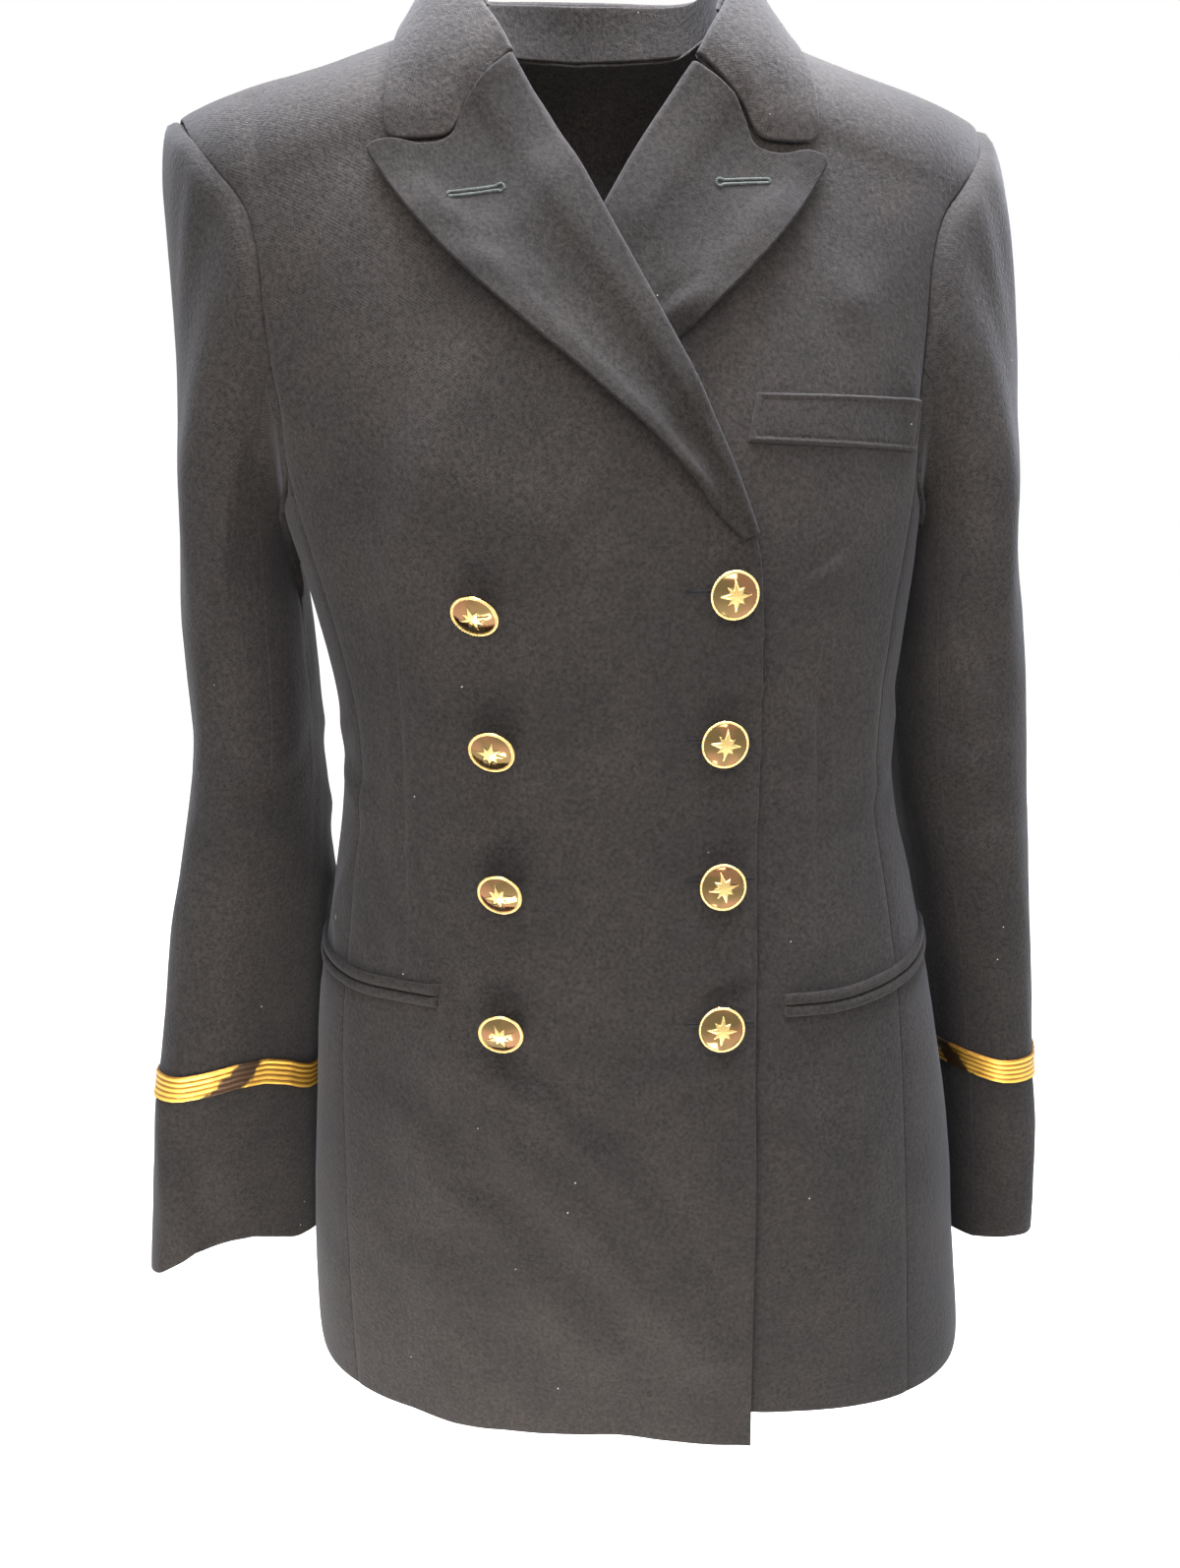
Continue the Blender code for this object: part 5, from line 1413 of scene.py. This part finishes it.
def lace(side, grid):
    """The braid round a cuff, closed round the sleeve, its rows down from its upper edge."""
    name = NAMES[side]
    rests = ["sleeve_upper_" + name, "sleeve_under_" + name]
    wide = np.concatenate([grid[:, -3:-1], grid, grid[:, 1:3]], axis=1)
    steps = wide.shape[1] - 1
    columns = (2 + np.linspace(0, grid.shape[1] - 1, LACE_COLUMNS + 1)[:-1]) / steps
    band = read_rows(wide, np.broadcast_to(columns, (len(wide), LACE_COLUMNS)))
    tall = read_rows(np.swapaxes(band, 0, 1),
                     np.broadcast_to(even(400), (LACE_COLUMNS, 400)))
    away = np.linspace(0, LACE_WIDTH, LACE_ROWS)[:, None]
    angles = np.interp(columns * steps - 2, np.arange(grid.shape[1]), sleeve_angles())
    points = [[np.interp(away[:, 0] - top, -line[:, 2], line[:, axis]) for axis in range(3)]
              for line, top in zip(tall, cuff_line(side, angles)[:, 1])]
    base, normal = settle(np.transpose(points, (2, 0, 1)), rests)
    turn = even(LACE_COLUMNS + 1)[:-1]
    from_edge = np.minimum(away, LACE_WIDTH - away)
    ribs = np.cos(2 * math.pi * (turn * LACE_RIBS))
    cord = np.exp(-((from_edge - CORD_IN) / CORD_HALF) ** 2)
    middle = np.exp(-((from_edge - INNER_CORD_IN) / INNER_CORD_HALF) ** 2)
    height = LACE_CLOTH * (rounded_edge(from_edge, 0.7) * 0.8
                           + 0.30 * cord * (1 + 0.6 * ribs) + 0.16 * middle * (1 - ribs))
    height = height + 0.12 * soft_noise(base, 9.0, SEEDS["lace"])
    inner = base + normal * LAID_ON
    outer = base + normal * (LAID_ON + height)[..., None]
    around = np.linalg.norm(np.diff(base, axis=1, append=base[:, :1]), axis=-1).sum(axis=1).max()
    weave = np.stack(np.broadcast_arrays(turn * around, away), -1)
    item = shell("lace_%s_braid" % name, outer, inner, LACE, weave, closed=True)
    belong(item, "gold_lace", "lace_" + name)
    cut = (around * MM, LACE_WIDTH * MM, around * LACE_WIDTH * MM ** 2)
    CUTS.append(("lace_" + name, item, *cut, "laid", rests))


# ---- worked buttonholes

def worked_hole(name, under, ends, material):
    """A buttonhole: a row of upright stitches down each side of a slit, round an eye."""
    lift, gauge, eye = HOLE_FORMS[under.split("_")[0]]
    points = body(front_place(ends), lift)
    start, end = points
    length = np.linalg.norm(end - start)
    ahead = (end - start) / length
    shares = even(HOLE_STEPS + 1)[:-1]
    loop = hole_loop(length, gauge, eye)
    loop = along(np.vstack([loop, loop[:1]]), shares)
    seat, seat_normal = settle(points, [under])
    up = unit(np.cross(seat_normal.mean(axis=0), ahead))
    path = seat[0] + loop[:, :1] * ahead + loop[:, 1:] * up
    base, normal = settle(path, [under])
    out = np.cross(unit(np.roll(base, -1, axis=0) - np.roll(base, 1, axis=0)), normal)
    around = np.linspace(0, math.pi, 7)
    whole = np.linalg.norm(np.diff(base, axis=0, append=base[:1]), axis=-1).sum()
    turns = round(whole / STITCH_PITCH)
    wave = 0.5 + 0.5 * np.cos(2 * math.pi * turns * shares)
    ragged = 1 + 0.10 * soft_noise(base, 1.7, SEEDS["hole"])
    reach = gauge * (STITCH_REACH + STITCH_WAVE * wave) * ragged
    rise = gauge * STITCH_REACH * (0.55 + 0.45 * wave)
    foot = base + out * np.cos(around)[:, None, None] * reach[:, None]
    crown = foot + normal * (np.sin(around)[:, None] * rise)[..., None]
    weave = np.stack(np.broadcast_arrays(shares * whole, around[:, None]), -1)
    item = shell("buttonhole_" + name, crown, foot - normal * HOLE_SUNK, material, weave,
                 closed=True)
    return belong(item, "navy_wool")


def arc(centre, radius, low, high, count):
    """Points on an arc about a place on the x axis, between angles in half turns."""
    turn = np.linspace(low, high, count) * math.pi
    return np.column_stack([centre + radius * np.cos(turn), radius * np.sin(turn)])


def hole_loop(length, gauge, eye):
    """The course of the stitches round a hole of this length, x along it and y across."""
    half = gauge * 0.62
    side = np.linspace(length - 1, eye * 2.4, 12)
    upper = np.column_stack([side, np.full(12, half)])
    return np.concatenate([upper, arc(eye, eye, 0.25, 1.75, 13), upper[::-1] * (1, -1),
                           arc(length, half, -0.5, 0.5, 7)])


# ---- buttons

def dome_height(radius, turn):
    """Height of a button's face: a dome with a raised star on it, in a beaded rim."""
    height = DOME_TOP - DOME_FALL * (radius / DOME_RADIUS) ** 2
    half = math.pi / STAR_POINTS
    sector = np.round(turn / (2 * half))
    off = np.abs(turn - sector * 2 * half)
    reach = np.where(sector.astype(int) % 2 == 0, STAR_LONG, STAR_SHORT)
    edge = (reach * STAR_VALLEY * math.sin(half)
            / (reach * np.sin(off) + STAR_VALLEY * np.sin(half - off)))
    inside = np.clip((edge - radius) / STAR_SLOPE, 0, 1)
    peak = np.clip(1 - radius / edge, 0, 1)
    height = height + STAR_RISE * inside * (STAR_EDGE + (1 - STAR_EDGE) * peak)
    pitch = 2 * math.pi / RIM_BEADS
    across = (turn - np.round(turn / pitch) * pitch) * RIM_RADIUS_BEADS
    bulge = BEAD_RADIUS ** 2 - across ** 2 - (radius - RIM_RADIUS_BEADS) ** 2
    rim = RIM_HEIGHT + np.sqrt(np.clip(bulge, 0, None))
    return np.where(radius > DOME_RADIUS, rim, height)


def button_shape():
    """Points, faces and relief of one button about Z, its foot at height 0."""
    face = np.concatenate([np.linspace(0.02, DOME_RADIUS, DOME_RINGS),
                           np.linspace(DOME_RADIUS + 0.15, BUTTON_RADIUS, RIM_RINGS)])
    turn = np.linspace(-math.pi, math.pi, BUTTON_COLUMNS + 1)[:-1]
    radius, around = np.meshgrid(face, turn, indexing="ij")
    height = dome_height(radius, around)
    back = np.array(BUTTON_BACK)
    radius = np.concatenate([radius, np.repeat(back[:, :1], BUTTON_COLUMNS, axis=1)])
    height = np.concatenate([height, np.repeat(back[:, 1:], BUTTON_COLUMNS, axis=1)])
    around = np.broadcast_to(turn, radius.shape)
    points = np.stack([radius * np.cos(around), radius * np.sin(around), height], -1)
    _, quads = grid_quads(*radius.shape, True)
    # relief sets only the colour: low places are painted dark as a painted dark reflection and
    # shade, raised ones bright as a painted highlight
    plain = DOME_TOP - DOME_FALL * (radius / DOME_RADIUS) ** 2
    relief = np.clip((height - plain) / STAR_RISE, 0, 1)
    relief[len(face):] = 0.4
    relief[(radius > DOME_RADIUS) & (height > RIM_HEIGHT + 0.2)] = 0.75
    wire, wire_quads = shank_loop()
    points = np.concatenate([points.reshape(-1, 3), wire])
    relief = np.concatenate([relief.ravel(), np.full(len(wire), 0.5)])
    return points, np.concatenate([quads, wire_quads + radius.size]), relief


def shank_loop():
    """A bent wire under the button that the thread holds."""
    turn = np.linspace(0, math.pi, 19)
    bend = np.column_stack([LOOP_RADIUS * np.cos(turn), 0 * turn,
                            LOOP_RADIUS + WIRE_RADIUS + 0.5 - LOOP_RADIUS * np.sin(turn)])
    line = np.concatenate([[(LOOP_RADIUS, 0, LOOP_TOP)], bend, [(-LOOP_RADIUS, 0, LOOP_TOP)]])
    out = np.cross(unit(np.gradient(line, axis=0)), (0, 1.0, 0))
    around = np.linspace(0, 2 * math.pi, 11)[:-1]
    tube = (line[:, None] + WIRE_RADIUS * (np.cos(around)[None, :, None] * out[:, None]
            + np.sin(around)[None, :, None] * np.array((0, 1.0, 0))))
    _, quads = grid_quads(*tube.shape[:2], True)
    return tube.reshape(-1, 3), quads


def button(name, z, x, droop, lean, spin, shape):
    """Place one button as the CAD does: turned by spin, then hung by droop and lean."""
    spot = front_place(((x, z), (x, z - 4), (x + 4, z)))
    base = body(spot, over_lift(spot))
    ahead = np.cross(base[2] - base[0], base[1] - base[0])
    ahead *= -np.sign(ahead[1]) / np.linalg.norm(ahead)
    right = unit(np.cross((0, 0, 1.0), -ahead))
    up = np.cross(ahead, right)
    up *= np.sign(up[2])
    droop, lean = math.radians(droop), math.radians(lean)
    tipped = ahead * math.cos(droop) - up * math.sin(droop)
    tipped = unit(tipped * math.cos(lean) + right * math.sin(lean))
    across = unit(np.cross(up, tipped))
    axes = np.array((across, np.cross(tipped, across), tipped))
    points, quads, relief = shape
    spin = math.radians(spin)
    turned = np.array(((math.cos(spin), math.sin(spin), 0), (-math.sin(spin), math.cos(spin), 0),
                       (0, 0, 1.0)))
    lifted = base[0] + ahead * SHANK_RADIUS * math.sin(abs(droop))
    placed = lifted + points @ turned @ axes
    name = "button_" + name
    item = add_mesh(name + "_gilt", placed, quads, GILT, relief=relief)
    belong(item, "gilt_brass", name)


# ---- materials

class Nodes:
    """Short calls for the nodes of one material, or of the world."""

    def __init__(self, owner, end="Principled BSDF"):
        owner.use_nodes = True
        self.owner, self.tree = owner, owner.node_tree
        self.end = self.tree.nodes[end]
        self.coordinates = self.add("ShaderNodeTexCoord").outputs

    def add(self, kind, settings=(), **inputs):
        node = self.tree.nodes.new(kind)
        for key, value in dict(settings).items():
            setattr(node, key, value)
        return self.feed(node, **inputs)

    def feed(self, node, **inputs):
        """Set or link inputs, named with _ for a space, or _ and a number."""
        for key, value in inputs.items():
            socket = node.inputs[int(key[1:]) if key[0] == "_" else key.replace("_", " ")]
            if isinstance(value, bpy.types.NodeSocket):
                self.tree.links.new(value, socket)
            else:
                socket.default_value = value
        return node

    def finish(self, **inputs):
        self.feed(self.end, **inputs)
        return self.owner

    def math(self, operation, first, second=0.0):
        return self.add("ShaderNodeMath", {"operation": operation},
                        _0=first, _1=second).outputs[0]

    def total(self, *terms, plus=None):
        """The sum of values that are each given with a factor, and of plus."""
        found = [self.math("MULTIPLY", *term) for term in terms]
        whole = found[0]
        for value in found[1:] + [plus] * (plus is not None):
            whole = self.math("ADD", whole, value)
        return whole

    def mix(self, share, low, high, blend="MIX"):
        settings = {"data_type": "RGBA", "blend_type": blend}
        return self.add("ShaderNodeMix", settings, _0=share, _6=low, _7=high).outputs[2]

    def spread(self, value, low, high):
        """value carried from low..high onto 0..1, smoothly."""
        return self.add("ShaderNodeMapRange", {"interpolation_type": "SMOOTHSTEP"}, Value=value,
                        From_Min=low, From_Max=high).outputs["Result"]

    def noise(self, scale, detail=2.0, roughness=0.5, where=None):
        return self.add("ShaderNodeTexNoise", Vector=where or self.coordinates["Object"],
                        Scale=scale, Detail=detail, Roughness=roughness).outputs[0]

    def weave(self):
        """Lengths across and along the cloth, in metres."""
        return self.add("ShaderNodeUVMap", {"uv_map": "weave"}).outputs["UV"]

    def bands(self, where, direction, scale, distortion, detail, detail_scale=1.0):
        return self.add("ShaderNodeTexWave", {"bands_direction": direction}, Vector=where,
                        Scale=scale, Distortion=distortion, Detail=detail,
                        Detail_Scale=detail_scale).outputs["Fac"]

    def bump(self, height, strength, distance):
        return self.add("ShaderNodeBump", Height=height, Strength=strength,
                        Distance=distance).outputs["Normal"]


def wool(name, tone, rough):
    """Faded near-black twill with a short nap and a few specks of lint.

    tone scales its colour and its shine, rough is the strength of the nap's relief."""
    make = Nodes(bpy.data.materials.new(name))
    twill = make.bands(make.weave(), "DIAGONAL", TWILL_SCALE, 1.2, 1.0, 2.5)
    nap = make.noise(NAP_SCALE, 2.5, 0.62)
    tuft = make.noise(TUFT_SCALE, 2.0, 0.55)
    clumps = make.noise(CLUMP_SCALE, 3.0, 0.62)
    fleck = make.total((nap, NAP_SHARE), (tuft, TUFT_SHARE), (twill, TWILL_SHARE))
    pile = make.total((fleck, 1 - CLUMP_SHARE), (clumps, CLUMP_SHARE))
    dark, light = ([tone * value for value in color] + [1.0] for color in (WOOL_DARK, WOOL_LIGHT))
    color = make.mix(make.spread(fleck, *FLECK_RANGE), dark, light)
    faded = make.mix(make.spread(make.noise(FADE_SCALE, 3.0), *FADE_RANGE), FADE_LOW, FADE_HIGH)
    color = make.mix(1.0, color, faded, "MULTIPLY")
    cells = make.add("ShaderNodeTexVoronoi", Vector=make.coordinates["Object"],
                     Scale=LINT_SCALE).outputs
    chance = make.noise(LINT_CHANCE_SCALE, 0.0, where=cells["Position"])
    chosen = make.math("GREATER_THAN", chance, LINT_RARE)
    lint = make.math("MULTIPLY", chosen, make.math("LESS_THAN", cells["Distance"], LINT_SIZE))
    return make.finish(
        Base_Color=make.mix(lint, color, LINT_COLOR),
        Roughness=make.total((nap, NAP_ROUGHNESS), plus=WOOL_ROUGHNESS),
        Specular_IOR_Level=tone * WOOL_SHINE, Sheen_Weight=tone * WOOL_SHEEN,
        Sheen_Roughness=SHEEN_ROUGHNESS, Sheen_Tint=SHEEN_TINT,
        Normal=make.bump(pile, rough, PILE_DEPTH))


def thread(name, low, high, sheen):
    """Twisted thread, flecked paler at random, with the slight change of colour of silk."""
    make = Nodes(bpy.data.materials.new(name))
    fibre = make.noise(FIBRE_SCALE, 3.0, 0.6)
    value = make.total((fibre, 0.6), (make.noise(SILK_SCALE), 0.4))
    return make.finish(
        Base_Color=make.mix(make.spread(value, 0.32, 0.68), low, high),
        Roughness=make.total((fibre, 0.2), plus=0.55), Sheen_Weight=sheen,
        Specular_IOR_Level=0.2, Normal=make.bump(fibre, 0.4, 0.0002))


def gilt_brass():
    """Polished gilt, finely scratched. Its low field is painted dark brown as a painted dark
    reflection and shade, with warmer blotches painted as reflections, and its raised star and
    beads are painted bright gold as a painted highlight.
    """
    make = Nodes(bpy.data.materials.new("gilt_brass_look"))
    relief = make.add("ShaderNodeAttribute", {"attribute_name": "relief"}).outputs["Fac"]
    stain = make.noise(STAIN_SCALE, 3.0, 0.6)
    level = make.math("ADD", relief, make.math("MULTIPLY", make.math("SUBTRACT", stain, 0.5), 0.5))
    # Warmer blotches painted over the dark field as reflections
    reflection_blotch = make.spread(make.noise(REFLECTION_BLOTCH_SCALE, 1.0), 0.42, 0.62)
    field = make.mix(reflection_blotch, GILT_PAINTED_DARK, GILT_REFLECTION_BLOTCH)
    return make.finish(
        Base_Color=make.mix(make.spread(level, 0.05, 0.85), field, GILT_HIGH), Metallic=1.0,
        Roughness=make.total((stain, 0.10), plus=0.05),
        Normal=make.bump(make.noise(SCRATCH_SCALE, 2.0, 0.7), 0.12, 0.0001))


def gold_lace():
    """Braid woven in stripes from flat gold wire, painted darker in the weave's lows and lighter
    on its ribs with painted glints, and with one brown stretch across it painted as a shadow and
    dark reflection.
    """
    make = Nodes(bpy.data.materials.new("gold_lace_look"))
    weave = make.weave()
    wire = make.bands(weave, "X", LACE_WIRE_SCALE, 0.8, 1.0)
    stripe = make.bands(weave, "Y", LACE_CROSS_SCALE, 0.5, 2.0, 0.6)
    grain = make.noise(LACE_GRAIN_SCALE)
    height = make.total((stripe, 0.62), (wire, 0.22), (grain, 0.16))
    # The colour follows the height of the weave, painted shade in its lows and painted highlight
    # on its ribs, with glints painted in at random
    shade = make.total((height, 0.72), (make.noise(GLINT_SCALE, 3.0, 0.6), 0.28))
    bright = make.mix(make.spread(shade, 0.28, 0.70), LACE_LOW, LACE_HIGH)
    # A ragged stretch across the lace, painted dark brown as a painted shadow and dark reflection
    course = make.add("ShaderNodeSeparateXYZ", Vector=weave).outputs
    slanted = make.math("ADD", course["X"], make.math("MULTIPLY", course["Y"], LACE_SHADOW_SLANT))
    away = make.math("ABSOLUTE", make.math("SUBTRACT", slanted, LACE_SHADOW_AT))
    ragged = make.math("MULTIPLY", make.noise(LACE_SHADOW_SCALE), 1.8)
    whole = make.math("ADD", make.math("DIVIDE", away, LACE_SHADOW_HALF), ragged)
    return make.finish(
        Base_Color=make.mix(make.spread(whole, 1.55, 1.95), LACE_PAINTED_SHADOW, bright), Metallic=0.7,
        Roughness=make.total((grain, 0.2), plus=0.28), Normal=make.bump(height, 0.7, 0.0005))


def pale_floor():
    make = Nodes(bpy.data.materials.new("pale_floor"))
    return make.finish(
        Base_Color=make.mix(make.noise(3.0, 3.0), FLOOR_LOW, FLOOR_HIGH), Roughness=0.95,
        Emission_Color=(1.0, 1.0, 1.0, 1.0), Emission_Strength=FLOOR_GLOW)


# ---- light, floor and camera

def area_light(name, place_at, aim, size, power, color):
    light = bpy.data.lights.new(name, "AREA")
    light.shape = "RECTANGLE"
    light.size, light.size_y = size
    light.energy = power
    light.color = color
    item = bpy.data.objects.new(name, light)
    item.location = place_at
    direction = Vector(aim) - Vector(place_at)
    item.rotation_euler = direction.to_track_quat("-Z", "Y").to_euler()
    item.visible_camera = False
    bpy.context.collection.objects.link(item)


def studio():
    bpy.context.scene.view_settings.view_transform = "Standard"
    make = Nodes(bpy.data.worlds.new("studio"), "Background")
    way = make.add("ShaderNodeSeparateXYZ", Vector=make.coordinates["Generated"]).outputs["Z"]
    height = make.spread(way, CEILING_STARTS, CEILING_WHOLE)
    bpy.context.scene.world = make.finish(Color=make.mix(height, WORLD_WHITE, WORLD_CEILING))
    for row in LIGHTS:
        area_light(*row)
    half = FLOOR_SIZE / 2
    corners = np.array([(-half, -half, FLOOR_HEIGHT), (half, -half, FLOOR_HEIGHT),
                        (half, half, FLOOR_HEIGHT), (-half, half, FLOOR_HEIGHT)])
    floor = add_mesh("floor", corners, np.array([[0, 1, 2, 3]]), pale_floor())


def camera():
    data = bpy.data.cameras.new("camera")
    data.sensor_width = 36.0
    data.lens = LENS
    item = bpy.data.objects.new("camera", data)
    item.location = CAMERA
    item.rotation_euler = (math.radians(90 - CAMERA_PITCH), 0, 0)
    bpy.context.collection.objects.link(item)
    bpy.context.scene.camera = item


# ---- the jacket

def build():
    lines = body_lines()
    for side in (-1, 1):
        body_piece("front", side, front_panel(side), ("last", "high"), lines)
        body_piece("side", side, side_panel(side), EDGES, lines)
        body_piece("back", side, back_panel(side), EDGES, lines)
    for side in (-1, 1):
        lapel_piece(side)
    collar_pieces()
    extras = {}
    for side in (-1, 1):
        lace(side, sleeve(side))
        extras["front_" + NAMES[side]] = hip_pocket(side)
    breast_welt()
    for name, under, *ends in HOLES:
        material = HOLE_THREAD if under.startswith("lapel") else NAVY_THREAD
        extras.setdefault(under, []).append(worked_hole(name, under, ends, material))
    shape = button_shape()
    for row in BUTTONS:
        button(*row, shape)
    for name, item, width, length, area, held, rests_on in CUTS:
        flat = (round(width, 3), round(length, 3))
        area = min(round(area, 4), flat[0] * flat[1])


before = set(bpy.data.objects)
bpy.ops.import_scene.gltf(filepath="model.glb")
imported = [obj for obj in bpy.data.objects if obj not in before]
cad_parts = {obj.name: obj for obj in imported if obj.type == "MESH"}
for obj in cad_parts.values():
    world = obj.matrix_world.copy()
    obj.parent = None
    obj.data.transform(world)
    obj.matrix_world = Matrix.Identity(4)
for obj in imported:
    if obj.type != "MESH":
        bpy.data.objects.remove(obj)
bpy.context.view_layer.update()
WOOL = wool("navy_wool_look", 1.0, WOOL_ROUGH)
# A darker, less shiny copy of the wool for the lapels, painted shade
SHADED_LAPEL_WOOL = wool("pressed_wool_look", LAPEL_SHADE_TONE, PRESSED_ROUGH)
HOLE_THREAD = thread("buttonhole_thread", HOLE_THREAD_LOW, HOLE_THREAD_HIGH, 0.01)
NAVY_THREAD = thread("navy_thread", NAVY_THREAD_LOW, NAVY_THREAD_HIGH, 0.0)
GILT = gilt_brass()
LACE = gold_lace()
build()
studio()
camera()
